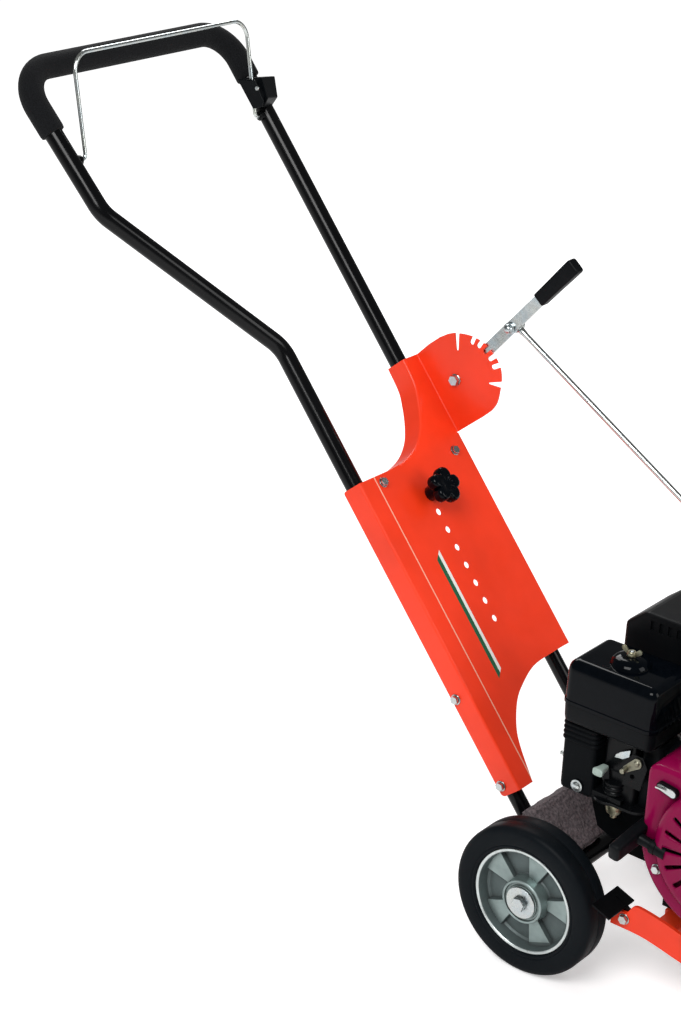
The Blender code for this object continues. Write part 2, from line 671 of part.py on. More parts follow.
def edge_point(angle):
    """The quadrant's edge at an angle in degrees about the lever's pivot."""
    radius = QUADRANT_EDGE[-1][1]
    for (start, low), (end, high) in zip(QUADRANT_EDGE, QUADRANT_EDGE[1:]):
        if start <= angle <= end:
            radius = low + (high - low) * (angle - start) / (end - start)
    return (pivot[0] + radius * math.cos(math.radians(angle)),
            pivot[1] + radius * math.sin(math.radians(angle)))


def edge_run(start, end):
    steps = max(2, int((end - start) / 4))
    return [edge_point(start + (end - start) * n / steps) for n in range(steps + 1)]


rim = []
angle = QUADRANT_EDGE[0][0]
for offset, floor in sorted(NOTCHES):
    middle = rest + offset
    edge = math.degrees(math.asin(half_slot / math.dist(edge_point(middle), pivot)))
    rim += edge_run(angle, middle - edge)
    direction = Vector((math.cos(math.radians(middle)), math.sin(math.radians(middle))))
    side = Vector((-direction.y, direction.x))
    base = Vector(pivot) + direction * (floor + half_slot)
    for turn in (-90, 180, 90):
        along = math.cos(math.radians(turn))
        across = math.sin(math.radians(turn))
        tip = base + half_slot * (direction * along + side * across)
        rim.append(tuple(tip))
    angle = middle + edge
rim += edge_run(angle, QUADRANT_EDGE[-1][0])
quadrant_low = QUADRANT_HEIGHT - QUADRANT_DROP
quadrant = plate([(INNER + 0.0003, quadrant_low), (0.0560, quadrant_low)] + rim
                 + [(0.0690, PANEL_TOP_FAR + 0.0004), (0.0540, PANEL_TOP_FAR + 0.0026),
                    (0.0300, PANEL_TOP_FAR + 0.0026), (INNER + 0.0003, PANEL_TOP_FAR)],
                 PANEL_SIDE - SHEET, PANEL_SIDE, "XZ", [circle(pivot, PIVOT_RADIUS + 0.0003, 16)])
boolean(panel, cutter(quadrant, SLOPE, "quadrant_shape"), "UNION")

for name, height in zip(("panel_bolt_upper", "panel_bolt_lower"), SIDE_BOLT_HEIGHTS):
    side_bolt = bolt((TUBE_PLANE, -PANEL_SIDE - SEAT, height), (0, -1, 0), 0.0045, 0.0110, 0.0030,
                     PANEL_SIDE - TUBE_SPACING - UPRIGHT_RADIUS - 0.0001, 0.0075)
    link(name, side_bolt, material(name + "_zinc", ZINC, 0.35, 0.9), SLOPE)

# Guide behind the panel in which the handlebar slides
GUIDE_HALF = 0.110
guide_hole = HANDLE_RADIUS + SLIDING
guide_top = INNER - SEAT
guide_end = guide_top - WELD
guide = plate([(TUBE_PLANE - 0.0170, -GUIDE_HALF), (guide_end, -GUIDE_HALF), (guide_end, GUIDE_HALF),
               (TUBE_PLANE - 0.0170, GUIDE_HALF)], 0.5595, 0.5625, "XY",
              [circle((TUBE_PLANE, y), guide_hole, 16) for y in (-TUBE_SPACING, TUBE_SPACING)])
guide_object = link("handlebar_guide", guide, material("guide_black", BLACK_PAINT, 0.45), SLOPE)
tab_half = GUIDE_HALF - WELD
tab = plate([(-tab_half, 0.5603), (tab_half, 0.5603), (tab_half, 0.5815), (-tab_half, 0.5815)],
            guide_top - 0.003, guide_top, "YZ",
            [circle((y, GUIDE_BOLT_HEIGHT), 0.0034, 12) for y in (GUIDE_BOLT_NEAR, GUIDE_BOLT_FAR)])
boolean(guide_object, cutter(tab, SLOPE, "guide_tab_shape"), "UNION")
for name, y in (("guide_bolt_right", GUIDE_BOLT_NEAR), ("guide_bolt_left", GUIDE_BOLT_FAR)):
    guide_bolt = bolt((PANEL_FACE + SEAT, y, GUIDE_BOLT_HEIGHT), (1, 0, 0), 0.0040, 0.0110, 0.0030,
                      0.0080, 0.0072)
    link(name, guide_bolt, material(name + "_zinc", ZINC, 0.35, 0.9), SLOPE)

# Handlebar
bar_path = rounded([
    (TUBE_PLANE, -TUBE_SPACING, HANDLE_LOW), (TUBE_PLANE, -TUBE_SPACING, HANDLE_BEND_LOW),
    (TUBE_PLANE, NEAR_SLANT_Y, HANDLE_BEND_HIGH), (TUBE_PLANE, NEAR_TOP_Y, HANDLE_TOP),
    (TUBE_PLANE, TUBE_SPACING, HANDLE_TOP), (TUBE_PLANE, TUBE_SPACING, HANDLE_LOW),
], 0.050, 4)
handlebar = link("handlebar", swept(bar_path, HANDLE_RADIUS, 14), material("handlebar_black", BLACK_PAINT,
                                                                           0.35),
                 SLOPE)
HANDLE_BORE = UPRIGHT_RADIUS + SLIDING
bore_path = list(bar_path)
bore_path[0] = bore_path[0] - Vector((0, 0, 0.005))
bore_path[-1] = bore_path[-1] - Vector((0, 0, 0.005))
boolean(handlebar, cutter(swept(bore_path, HANDLE_BORE, 14), SLOPE, "handlebar_bore"), "DIFFERENCE")
bar_direction = (Vector((0, NEAR_TOP_Y, HANDLE_TOP)) - Vector((0, NEAR_SLANT_Y,
                                                               HANDLE_BEND_HIGH))).normalized()


def near_tube_y(height):
    return NEAR_SLANT_Y + bar_direction.y / bar_direction.z * (height - HANDLE_BEND_HIGH)


BUSH_OUTER = 0.0075
near_bush = near_tube_y(BAIL_PIVOT_HEIGHT) + HANDLE_RADIUS - WELD
far_bush = BAIL_FAR_Y + BAIL_CORNER + RUNNING
weld(handlebar, ring(BUSH_OUTER, BAIL_RADIUS + RUNNING, 0, BAIL_NEAR_Y - BAIL_CORNER - RUNNING - near_bush,
                     (TUBE_PLANE, near_bush, BAIL_PIVOT_HEIGHT), sides=12), SLOPE, "near_bush_shape")
weld(handlebar, ring(BUSH_OUTER, BAIL_RADIUS + RUNNING, 0, TUBE_SPACING - HANDLE_RADIUS + WELD - far_bush,
                     (TUBE_PLANE, far_bush, BAIL_PIVOT_HEIGHT), sides=12), SLOPE, "far_bush_shape")
CARRIAGE_SIDE = TUBE_SPACING - HANDLE_RADIUS - SEAT
carriage = plate(
    [(-CARRIAGE_SIDE, HOLE_TOP - 0.0125), (CARRIAGE_SIDE, HOLE_TOP - 0.0125),
     (CARRIAGE_SIDE, HOLE_TOP + 0.0125), (-CARRIAGE_SIDE, HOLE_TOP + 0.0125)],
    TUBE_PLANE - 0.004, TUBE_PLANE + 0.004, "YZ", [circle((0, HOLE_TOP), STUD_RADIUS + 0.0003, 16)])
link("handlebar_carriage", carriage, material("carriage_black", BLACK_PAINT, 0.45), SLOPE)


def trimmed(path, near_height, far_height):
    """The part of the handlebar path above two heights, which lie on its near and far legs."""
    top = [n for n, p in enumerate(path) if p.z > far_height + 1e-6 and p.y > 0]
    start = [n for n, p in enumerate(path) if p.z > near_height + 1e-6 and p.y < 0][0]
    kept = path[start:top[-1] + 1]
    first = Vector((TUBE_PLANE, near_tube_y(near_height), near_height))
    last = Vector((TUBE_PLANE, TUBE_SPACING, far_height))
    return [first] + kept + [last]


foam_path = trimmed(bar_path, FOAM_NEAR_END, FOAM_FAR_END)
foam = link("foam_grip", swept(foam_path, FOAM_RADIUS, 14), material("foam_black", (0.02, 0.02, 0.02), 0.9),
            SLOPE)
longer = trimmed(bar_path, FOAM_NEAR_END - 0.006, FOAM_FAR_END - 0.006)
boolean(foam, cutter(swept(longer, HANDLE_RADIUS + SEAT, 14), SLOPE, "foam_bore"), "DIFFERENCE")

# Bail with its pivots and the housing on the far tube
reach = Vector((math.sin(BAIL_REST), 0, math.cos(BAIL_REST))) * BAIL_REACH
near_pivot = Vector((TUBE_PLANE, near_bush + WELD + 0.0010, BAIL_PIVOT_HEIGHT))
far_pivot = Vector((TUBE_PLANE, TUBE_SPACING - HANDLE_RADIUS - 0.0010, BAIL_PIVOT_HEIGHT))
bail_path = rounded([
    near_pivot, Vector((TUBE_PLANE, BAIL_NEAR_Y, BAIL_PIVOT_HEIGHT)),
    Vector((TUBE_PLANE, BAIL_NEAR_Y, BAIL_PIVOT_HEIGHT)) + reach * 0.80,
    Vector((TUBE_PLANE, BAIL_NEAR_Y + 0.035, BAIL_PIVOT_HEIGHT)) + reach,
    Vector((TUBE_PLANE, BAIL_FAR_Y - 0.018, BAIL_PIVOT_HEIGHT)) + reach,
    Vector((TUBE_PLANE, BAIL_FAR_Y, BAIL_PIVOT_HEIGHT)) + reach * 0.86,
    Vector((TUBE_PLANE, BAIL_FAR_Y, BAIL_PIVOT_HEIGHT)), far_pivot,
], BAIL_CORNER, 2)
link("bail", swept(bail_path, BAIL_RADIUS, 8), material("bail_zinc", ZINC, 0.3, 0.9), SLOPE,
     (TUBE_PLANE, 0, BAIL_PIVOT_HEIGHT))
housing = plate([(TUBE_PLANE - 0.018, 0.0800), (TUBE_PLANE + 0.020, 0.0800), (TUBE_PLANE + 0.020, 0.1150),
                 (TUBE_PLANE - 0.018, 0.1150)], BAIL_PIVOT_HEIGHT + HOUSING_LOW,
                BAIL_PIVOT_HEIGHT + HOUSING_TOP, "XY",
                [circle((TUBE_PLANE, TUBE_SPACING), HANDLE_RADIUS + SEAT, 24)])
link("bail_housing", housing, material("housing_black", (0.02, 0.02, 0.02), 0.45), SLOPE, smooth=False)

# Star knob that locks the handlebar height
knob_base = PANEL_FACE + 0.0010
KNOB_HUB = 0.021
lobes = []
for step in range(40):
    turn = 2 * math.pi * step / 40
    radius = 0.0205 + 0.0058 * math.cos(5 * turn)
    lobes.append((radius * math.cos(turn), HOLE_TOP + radius * math.sin(turn)))
star = plate(lobes, knob_base + KNOB_HUB, knob_base + KNOB_HUB + 0.018, "YZ")
knob = link("height_knob", star, material("knob_black", (0.02, 0.02, 0.02), 0.4), SLOPE, (TUBE_PLANE, 0,
                                                                                          HOLE_TOP))
bevel(knob, 0.0025, 1, 60)
hub = turned([(0, 0), (0.0110, 0), (0.0090, KNOB_HUB + 0.002), (0, KNOB_HUB + 0.002)], (knob_base, 0,
                                                                                        HOLE_TOP), (1, 0,
                                                                                                    0), 16)
boolean(knob, cutter(hub, SLOPE, "knob_hub_shape"), "UNION")
knob_stud = rod((TUBE_PLANE - 0.006, 0, HOLE_TOP), (knob_base + 0.002, 0, HOLE_TOP), STUD_RADIUS, 16)
weld(knob, knob_stud, SLOPE, "knob_stud_shape")

# Depth lever, its rod and the front lift share one parallelogram

def at(point, y):
    return (point[0], y, point[2])


def along_lever(distance, side=0.0):
    direction = Vector((math.cos(LEVER_ANGLE), math.sin(LEVER_ANGLE)))
    across = Vector((-direction.y, direction.x))
    spot = Vector((QUADRANT_AT.x, QUADRANT_AT.z)) + direction * distance + across * side
    return tuple(spot)


LEVER_OUTER = LEVER_INNER + LEVER_THICKNESS
lever_outline = hull_outline([(along_lever(0), LEVER_WIDTH / 2 + 0.001),
                              (along_lever(LEVER_GRIP_START + 0.060), LEVER_WIDTH / 2)], 6)
lever = plate(lever_outline, LEVER_INNER, LEVER_OUTER, "XZ",
              [circle(along_lever(0), PIVOT_RADIUS + RUNNING, 20),
               circle(along_lever(LEVER_CRANK), 0.0043, 16)])
link("depth_lever", lever, material("lever_zinc", ZINC, 0.35, 0.9), FRAME, at(QUADRANT_AT, LEVER_INNER))
grip_outline = [along_lever(LEVER_GRIP_START, -0.0095), along_lever(LEVER_GRIP_START, 0.0095),
                along_lever(LEVER_END - 0.012, 0.0112), along_lever(LEVER_END - 0.003, 0.0095),
                along_lever(LEVER_END, 0.0050), along_lever(LEVER_END, -0.0050),
                along_lever(LEVER_END - 0.003, -0.0095), along_lever(LEVER_END - 0.012, -0.0112)]
lever_middle = (LEVER_INNER + LEVER_OUTER) / 2
grip = plate(grip_outline, lever_middle - 0.0085, lever_middle + 0.0085)
grip_object = link("lever_grip", grip, material("lever_grip_black", (0.02, 0.02, 0.02), 0.45), FRAME,
                   at(QUADRANT_AT, LEVER_INNER))
bevel(grip_object, 0.0035, 2, 25)
pocket = plate([along_lever(LEVER_GRIP_START - 0.01, -LEVER_WIDTH / 2 - SEAT),
                along_lever(LEVER_GRIP_START - 0.01, LEVER_WIDTH / 2 + SEAT),
                along_lever(LEVER_GRIP_START + 0.069, LEVER_WIDTH / 2 + SEAT),
                along_lever(LEVER_GRIP_START + 0.069, -LEVER_WIDTH / 2 - SEAT)],
               LEVER_INNER - SEAT, LEVER_OUTER + SEAT)
boolean(grip_object, cutter(pocket, FRAME, "grip_pocket"), "DIFFERENCE")
pivot_bolt = turned([(0, -0.0135), (0.0085, -0.0135), (0.0085, -0.0028 - SEAT), (PIVOT_RADIUS,
                                                                                 -0.0028 - SEAT),
                     (PIVOT_RADIUS, 0.0062), (0.0085, 0.0062), (0.0085, 0.0110), (0, 0.0110)],
                    at(QUADRANT_AT, PANEL_SIDE), sides=24)
link("lever_pivot_bolt", pivot_bolt, material("lever_bolt_zinc", ZINC, 0.35, 0.9), FRAME)
eye_inner = ROD_MIDDLE - EYE_WIDTH / 2
eye_outer = ROD_MIDDLE + EYE_WIDTH / 2
stud_profile = [(0, LEVER_INNER - 0.0095), (0.0050, LEVER_INNER - 0.0090), (0.0085, LEVER_INNER - 0.0060),
                (0.0085, LEVER_INNER - SEAT), (0.0040, LEVER_INNER - SEAT), (0.0040, LEVER_OUTER + SEAT),
                (0.0060, LEVER_OUTER + SEAT), (0.0060, eye_inner - SEAT), (0.0040, eye_inner - SEAT),
                (0.0040, eye_outer + SEAT), (0.0075, eye_outer + SEAT), (0.0075, eye_outer + 0.0045),
                (0, eye_outer + 0.0045)]
stud = turned(stud_profile, at(ROD_REAR, 0), sides=16)
link("rod_rear_stud", stud, material("rear_stud_zinc", ZINC, 0.35, 0.9), FRAME, at(QUADRANT_AT, LEVER_INNER))
rod_direction = (ROD_FRONT - ROD_REAR).normalized()
depth_rod = link("depth_rod",
                 rod(at(ROD_REAR + rod_direction * 0.008, ROD_MIDDLE), at(ROD_FRONT - rod_direction * 0.008,
                                                                          ROD_MIDDLE),
                     ROD_RADIUS, 12), material("depth_rod_zinc", ZINC, 0.3, 0.9), FRAME, at(ROD_REAR,
                                                                                            ROD_MIDDLE))
EYE_BORE = 0.0040 + 0.0005
for name, spot in (("rear_eye_shape", ROD_REAR), ("front_eye_shape", ROD_FRONT)):
    boolean(depth_rod, cutter(ring(EYE_RADIUS, EYE_BORE, -EYE_WIDTH / 2, EYE_WIDTH / 2, at(spot, ROD_MIDDLE),
                                   sides=16), FRAME, name), "UNION")
for name, spot in (("rear_eye_bore", ROD_REAR), ("front_eye_bore", ROD_FRONT)):
    boolean(depth_rod, cutter(rod(at(spot, ROD_MIDDLE - 0.02), at(spot, ROD_MIDDLE + 0.02), EYE_BORE, 16),
                              FRAME, name), "DIFFERENCE")
# Front lift: cross shaft, left bell crank, right arm and two gauge wheels
GAUGE_AT = Vector((GAUGE_X, 0, FLOOR + GAUGE_RADIUS))
CRANK_PLATE_OUTER = CRANK_PLATE_INNER + CRANK_PLATE
RIGHT_ARM_INNER = -0.1785
RIGHT_ARM_OUTER = RIGHT_ARM_INNER - CRANK_PLATE
lift_spot = (LIFT_AT.x, LIFT_AT.z)
front_spot = (ROD_FRONT.x, ROD_FRONT.z)
gauge_spot = (GAUGE_AT.x, GAUGE_AT.z)
bell_hole = (Vector(lift_spot) * 0.8 + Vector(front_spot) * 1.1 + Vector(gauge_spot) * 1.1) / 3
bell = plate(hull_outline([(lift_spot, 0.018), (front_spot, 0.011), (gauge_spot, 0.012)], 4),
             CRANK_PLATE_INNER, CRANK_PLATE_OUTER, "XZ", [circle(tuple(bell_hole), 0.020, 16)])
front_lift = link("front_lift", bell, material("front_lift_black", BLACK_PAINT, 0.45), FRAME, at(LIFT_AT, 0))
right_arm = plate(hull_outline([(lift_spot, 0.018), (gauge_spot, 0.012)], 4), RIGHT_ARM_OUTER,
                  RIGHT_ARM_INNER)
weld(front_lift, right_arm, FRAME, "right_arm_shape")
lift_shaft = rod(at(LIFT_AT, RIGHT_ARM_OUTER - 0.0015), at(LIFT_AT, CRANK_PLATE_OUTER + 0.0015),
                 LIFT_SHAFT_RADIUS, 20)
weld(front_lift, lift_shaft, FRAME, "lift_shaft_shape")
for name, inner_face, outer_face, side in (("left_collar", TUBE_SPACING + RAIL_HALF + 0.004 + SLIDING,
                                            CRANK_PLATE_INNER + WELD, 1),
                                           ("right_collar", -(TUBE_SPACING + RAIL_HALF + 0.004 + SLIDING),
                                            -(TUBE_SPACING + RAIL_HALF + 0.010), -1)):
    weld(front_lift, rod(at(LIFT_AT, inner_face), at(LIFT_AT, outer_face), 0.0130, 20), FRAME, name)
front_stud = turned([(0, CRANK_PLATE_INNER + WELD), (0.0060, CRANK_PLATE_INNER + WELD), (0.0060,
                                                                                         eye_inner - SEAT),
                     (0.0040, eye_inner - SEAT), (0.0040, eye_outer + 0.0010), (0.0030, eye_outer + 0.0020),
                     (0, eye_outer + 0.0020)], at(ROD_FRONT, 0), sides=16)
weld(front_lift, front_stud, FRAME, "front_stud_shape")
LEFT_GAUGE = GAUGE_FAR_INNER + GAUGE_WIDTH / 2
RIGHT_GAUGE = GAUGE_NEAR_INNER - GAUGE_WIDTH / 2


def gauge_axle(start, face, side):
    """A stub axle from the arm to the wheel, with a shoulder on the inner side."""
    points = [(0, start), (0.0085, start), (0.0085, face - side * RUNNING), (GAUGE_AXLE,
                                                                             face - side * RUNNING),
              (GAUGE_AXLE, face + side * (GAUGE_WIDTH + 0.004)), (0, face + side * (GAUGE_WIDTH + 0.004))]
    return turned(points, at(GAUGE_AT, 0), sides=16)


weld(front_lift, gauge_axle(CRANK_PLATE_INNER + WELD, GAUGE_FAR_INNER, 1), FRAME, "left_gauge_axle")
weld(front_lift, gauge_axle(RIGHT_ARM_INNER - WELD, GAUGE_NEAR_INNER, -1), FRAME, "right_gauge_axle")
for name, face, side in (("left_gauge_cap", GAUGE_FAR_INNER, 1), ("right_gauge_cap", GAUGE_NEAR_INNER, -1)):
    start = face + side * (GAUGE_WIDTH + RUNNING)
    weld(front_lift, rod(at(GAUGE_AT, start), at(GAUGE_AT, start + side * 0.005), 0.0095, 16), FRAME, name)


def gauge_wheel(name, centre):
    """A moulded wheel in one piece, with a web between the tread and the hub."""
    half = GAUGE_WIDTH / 2
    bore = GAUGE_AXLE + RUNNING
    profile = [
        (bore, -half), (0.0155, -half), (0.0165, -half * 0.35), (GAUGE_RADIUS * 0.70, -half * 0.30),
        (GAUGE_RADIUS * 0.76, -half), (GAUGE_RADIUS * 0.93, -half), (GAUGE_RADIUS, -half * 0.55),
        (GAUGE_RADIUS, half * 0.55), (GAUGE_RADIUS * 0.93, half), (GAUGE_RADIUS * 0.76, half),
        (GAUGE_RADIUS * 0.70, half * 0.30), (0.0165, half * 0.35), (0.0155, half), (bore, half),
    ]
    link(name, turned(profile, centre, sides=24), material(name + "_rubber", (0.015, 0.015, 0.016), 0.7),
         FRAME,
         centre)


gauge_wheel("right_gauge_wheel", at(GAUGE_AT, RIGHT_GAUGE))
gauge_wheel("left_gauge_wheel", at(GAUGE_AT, LEFT_GAUGE))

# Cutter: shaft, rotor with four paddles, pulleys and belt
def cutter_spot(y):
    return (CUTTER_X, y, CUTTER_Z)


def crank_spot(y):
    return (CRANK_X, y, CRANK_Z)


shaft_far = TUBE_SPACING + PILLOW_HALF + 0.005
shaft_near = CUTTER_MIDDLE - 0.010
cutter_shaft = link("cutter_shaft", rod(cutter_spot(shaft_near), cutter_spot(shaft_far),
                                        CUTTER_SHAFT_RADIUS, 20),
                    material("cutter_shaft_steel", ZINC, 0.3, 0.9), FRAME, cutter_spot(0))
for name, start, end in (("right_shaft_collar", -(TUBE_SPACING - PILLOW_HALF - SLIDING),
                          -(TUBE_SPACING - PILLOW_HALF - 0.010)),
                         ("left_shaft_collar", shaft_far - 0.005 + SLIDING, shaft_far - 0.001)):
    weld(cutter_shaft, rod(cutter_spot(start), cutter_spot(end), 0.0150, 20), FRAME, name)
disc_half = 0.003
rotor_outline = []
PADDLES = 4
for n in range(PADDLES):
    middle = 45 + 360 * n / PADDLES
    rotor_outline += arc((CUTTER_X, CUTTER_Z), CUTTER_DISC_RADIUS, middle - 45, middle - 14, 3)
    rotor_outline += arc((CUTTER_X, CUTTER_Z), CUTTER_RADIUS - 0.006, middle - 9, middle + 9, 3)
    rotor_outline += arc((CUTTER_X, CUTTER_Z), CUTTER_DISC_RADIUS, middle + 14, middle + 35, 2)
rotor_holes = [circle((CUTTER_X, CUTTER_Z), 0.0160, 12)]
for n in range(PADDLES):
    middle = math.radians(360 * n / PADDLES)
    rotor_holes.append(circle((CUTTER_X + 0.055 * math.cos(middle), CUTTER_Z + 0.055 * math.sin(middle)),
                              0.014, 8))
rotor = plate(rotor_outline, CUTTER_MIDDLE - disc_half, CUTTER_MIDDLE + disc_half, "XZ", rotor_holes)
rotor_object = link("cutter_rotor", rotor, material("rotor_steel", (0.35, 0.35, 0.35), 0.4, 0.9), FRAME,
                    cutter_spot(0))
weld(rotor_object, ring(0.022, CUTTER_SHAFT_RADIUS + SEAT, -0.0095, 0.0105, cutter_spot(CUTTER_MIDDLE),
                        sides=20),
     FRAME, "rotor_hub_shape")
for n in range(PADDLES):
    middle = math.radians(45 + 360 * n / PADDLES)
    paddle = box((-0.0035, -0.015, -0.018), (0.0035, 0.015, 0.016))
    bmesh.ops.translate(paddle, vec=(0, 0, CUTTER_RADIUS - 0.0165), verts=paddle.verts)
    bmesh.ops.rotate(paddle, matrix=Matrix.Rotation(math.pi / 2 - middle, 3, "Y"), verts=paddle.verts)
    bmesh.ops.translate(paddle, vec=cutter_spot(CUTTER_MIDDLE), verts=paddle.verts)
    weld(rotor_object, paddle, FRAME, f"paddle_{n + 1}_shape")


def pulley(name, centre, rim, bore, look):
    """A grooved pulley; the belt runs on the groove floor's clearance."""
    half = PULLEY_WIDTH / 2
    groove = BELT_WIDTH / 2 + SLIDING
    floor = rim - BELT_INSET - BELT_THICKNESS - SLIDING
    profile = [(bore + SEAT, -half), (rim, -half), (rim, -groove), (floor, -groove), (floor, groove),
               (rim, groove), (rim, half), (bore + SEAT, half)]
    return link(name, turned(profile, centre, sides=24), look, FRAME, centre)


pulley("drive_pulley", crank_spot(PULLEY_MIDDLE), DRIVE_PULLEY, CRANKSHAFT_RADIUS,
       material("drive_pulley_steel", ZINC, 0.35, 0.9))
pulley("driven_pulley", cutter_spot(PULLEY_MIDDLE), DRIVEN_PULLEY, CUTTER_SHAFT_RADIUS,
       material("driven_pulley_steel", ZINC, 0.35, 0.9))


def belt_line(offset, steps=14):
    """The closed line of a belt that lies offset inside the two rims."""
    span = Vector((CUTTER_X - CRANK_X, CUTTER_Z - CRANK_Z))
    heading = math.degrees(math.atan2(span.y, span.x))
    lean = math.degrees(math.acos((DRIVE_PULLEY - DRIVEN_PULLEY) / span.length))
    first = arc((CRANK_X, CRANK_Z), DRIVE_PULLEY - offset, heading + lean, heading + 360 - lean, steps)
    second = arc((CUTTER_X, CUTTER_Z), DRIVEN_PULLEY - offset, heading - lean, heading + lean, steps)
    return first + second


belt_outer = BELT_INSET
belt = plate(belt_line(belt_outer), PULLEY_MIDDLE - BELT_WIDTH / 2, PULLEY_MIDDLE + BELT_WIDTH / 2, "XZ",
             [belt_line(belt_outer + BELT_THICKNESS)])
link("drive_belt", belt, material("belt_rubber", (0.02, 0.02, 0.02), 0.8), FRAME)
GUARD_SHEET = 0.002
GUARD_OUTER = TUBE_SPACING - RAIL_HALF - SEAT
GUARD_INNER = PULLEY_MIDDLE - PULLEY_WIDTH / 2 - 0.006
guard = plate(belt_line(-0.012, 8), GUARD_INNER, GUARD_OUTER, "XZ")
guard_object = link("belt_guard", guard, material("guard_black", BLACK_PAINT, 0.45), FRAME)
inside = plate(belt_line(-0.010, 8), GUARD_INNER - 0.01, GUARD_OUTER - GUARD_SHEET, "XZ")
boolean(guard_object, cutter(inside, FRAME, "guard_inside"), "DIFFERENCE")
guard_hole = rod(cutter_spot(GUARD_OUTER - 0.01), cutter_spot(GUARD_OUTER + 0.01), 0.016, 16)
boolean(guard_object, cutter(guard_hole, FRAME, "guard_shaft_hole"), "DIFFERENCE")

# Hood over the rotor
HOOD_START = -18
HOOD_END = 170
hood_arc = arc((CUTTER_X, CUTTER_Z), HOOD_RADIUS, HOOD_START, HOOD_END, 14)
hood_inner = arc((CUTTER_X, CUTTER_Z), HOOD_RADIUS - HOOD_SHEET, HOOD_END, HOOD_START, 14)
hood_shell = plate(hood_arc + hood_inner, HOOD_OUTER_SIDE, HOOD_INNER_SIDE, "XZ")
hood = link("cutter_hood", hood_shell, material("hood_orange", ORANGE, 0.35), FRAME)
side_arc = arc((CUTTER_X, CUTTER_Z), HOOD_RADIUS - HOOD_SHEET / 2, HOOD_START, HOOD_END, 14)
outer_side = plate(side_arc + [(0.430, 0.165), (0.440, 0.1225), (0.470, 0.0950), (0.600, 0.0950), (0.650,
                                                                                                   0.1080)],
                   HOOD_OUTER_SIDE, HOOD_OUTER_SIDE + HOOD_SHEET, "XZ")
weld(hood, outer_side, FRAME, "hood_outer_side")
inner_side = plate(side_arc + [(0.445, 0.165), (0.452, RAIL_TOP - 0.022), (0.6385, RAIL_TOP - 0.022),
                               (0.6385, RAIL_TOP)],
                   HOOD_INNER_SIDE - HOOD_SHEET, HOOD_INNER_SIDE, "XZ",
                   [circle((CUTTER_X, CUTTER_Z), 0.0160, 20)])
weld(hood, inner_side, FRAME, "hood_inner_side")

# Engine block with its finned cylinder
block_low = ENGINE_BASE
crankcase = box((0.190, -0.1180, block_low + 0.006), (0.352, ENGINE_FAR_FACE, 0.362))
engine = link("engine_block", crankcase, material("engine_cast", CAST, 0.5, 0.8), FRAME, smooth=False)
bevel(engine, 0.010, 1)
foot = box((0.170, -0.1020, block_low), (0.366, ENGINE_FAR_FACE - 0.004, block_low + 0.012))
weld(engine, foot, FRAME, "engine_foot_shape")
tank_pad = box((0.200, -0.0950, 0.355), (0.340, 0.0150, FAN_TOP))
weld(engine, tank_pad, FRAME, "tank_pad_shape")
CYLINDER_LEAN = math.radians(25.0)
cylinder_axis = Vector((-math.cos(CYLINDER_LEAN), 0, math.sin(CYLINDER_LEAN)))
cylinder_up = Vector((math.sin(CYLINDER_LEAN), 0, math.cos(CYLINDER_LEAN)))


def cylinder_box(near_reach, far_reach, low, high, y_low, y_high):
    """A box along the leaning cylinder, measured from the crankshaft."""
    bm = box((near_reach, y_low, low), (far_reach, y_high, high))
    matrix = Matrix((
        (cylinder_axis.x, 0, cylinder_up.x, CRANK_X), (0, 1, 0, 0),
        (cylinder_axis.z, 0, cylinder_up.z, CRANK_Z), (0, 0, 0, 1),
    ))
    bmesh.ops.transform(bm, matrix=matrix, verts=bm.verts)
    bmesh.ops.recalc_face_normals(bm, faces=bm.faces)
    return bm


weld(engine, cylinder_box(0.040, 0.1425, -0.030, 0.034, -0.032, 0.026), FRAME, "cylinder_core")
for n in range(5):
    reach = 0.098 + 0.0095 * n
    weld(engine, cylinder_box(reach, reach + 0.0035, -0.040, 0.044, -0.040, 0.030), FRAME,
         f"fin_{n + 1}_shape")
crank_bore = rod(crank_spot(-0.2), crank_spot(0.1), CRANKSHAFT_RADIUS + RUNNING, 20)
boolean(engine, cutter(crank_bore, FRAME, "crank_bore"), "DIFFERENCE")
head = link("cylinder_head", cylinder_box(0.1428, 0.178, -0.036, 0.040, -0.040, 0.030),
            material("head_cast", CAST, 0.5, 0.8), FRAME, smooth=False)
bevel(head, 0.005, 2)
weld(head, cylinder_box(0.170, 0.196, -0.026, 0.030, -0.030, 0.022), FRAME, "rocker_cover_shape")

# Crankshaft and flywheel
crankshaft = link("crankshaft",
                  rod(crank_spot(-0.196), crank_spot(PULLEY_MIDDLE + PULLEY_WIDTH / 2), CRANKSHAFT_RADIUS,
                      20),
                  material("crankshaft_steel", ZINC, 0.3, 0.9), FRAME, crank_spot(0))
flywheel = turned([(CRANKSHAFT_RADIUS - 0.001, -0.026), (0.030, -0.026), (0.034, -0.014), (0.083, -0.014),
                   (0.083, 0.012), (0.060, 0.016), (CRANKSHAFT_RADIUS - 0.001, 0.016)],
                  crank_spot(-0.1580), sides=24)
weld(crankshaft, flywheel, FRAME, "flywheel_shape")

# Fan cover and recoil housing
fan_outline = (arc((CRANK_X, CRANK_Z), FAN_RADIUS, -165, 0, 14)
               + [(CRANK_X + FAN_RADIUS, FAN_TOP - 0.030)]
               + arc((CRANK_X + FAN_RADIUS - 0.025, FAN_TOP - 0.025), 0.025, 10, 90, 3)
               + [(FAN_LEFT + 0.020, FAN_TOP)] + arc((FAN_LEFT + 0.014, FAN_TOP - 0.014), 0.014, 90, 180, 3))


def inset_outline(outline, by):
    """The outline drawn in towards the crankshaft."""
    out = []
    for x, z in outline:
        away = Vector((x - CRANK_X, z - CRANK_Z))
        out.append(tuple(Vector((CRANK_X, CRANK_Z)) + away * (1 - by / away.length)))
    return out


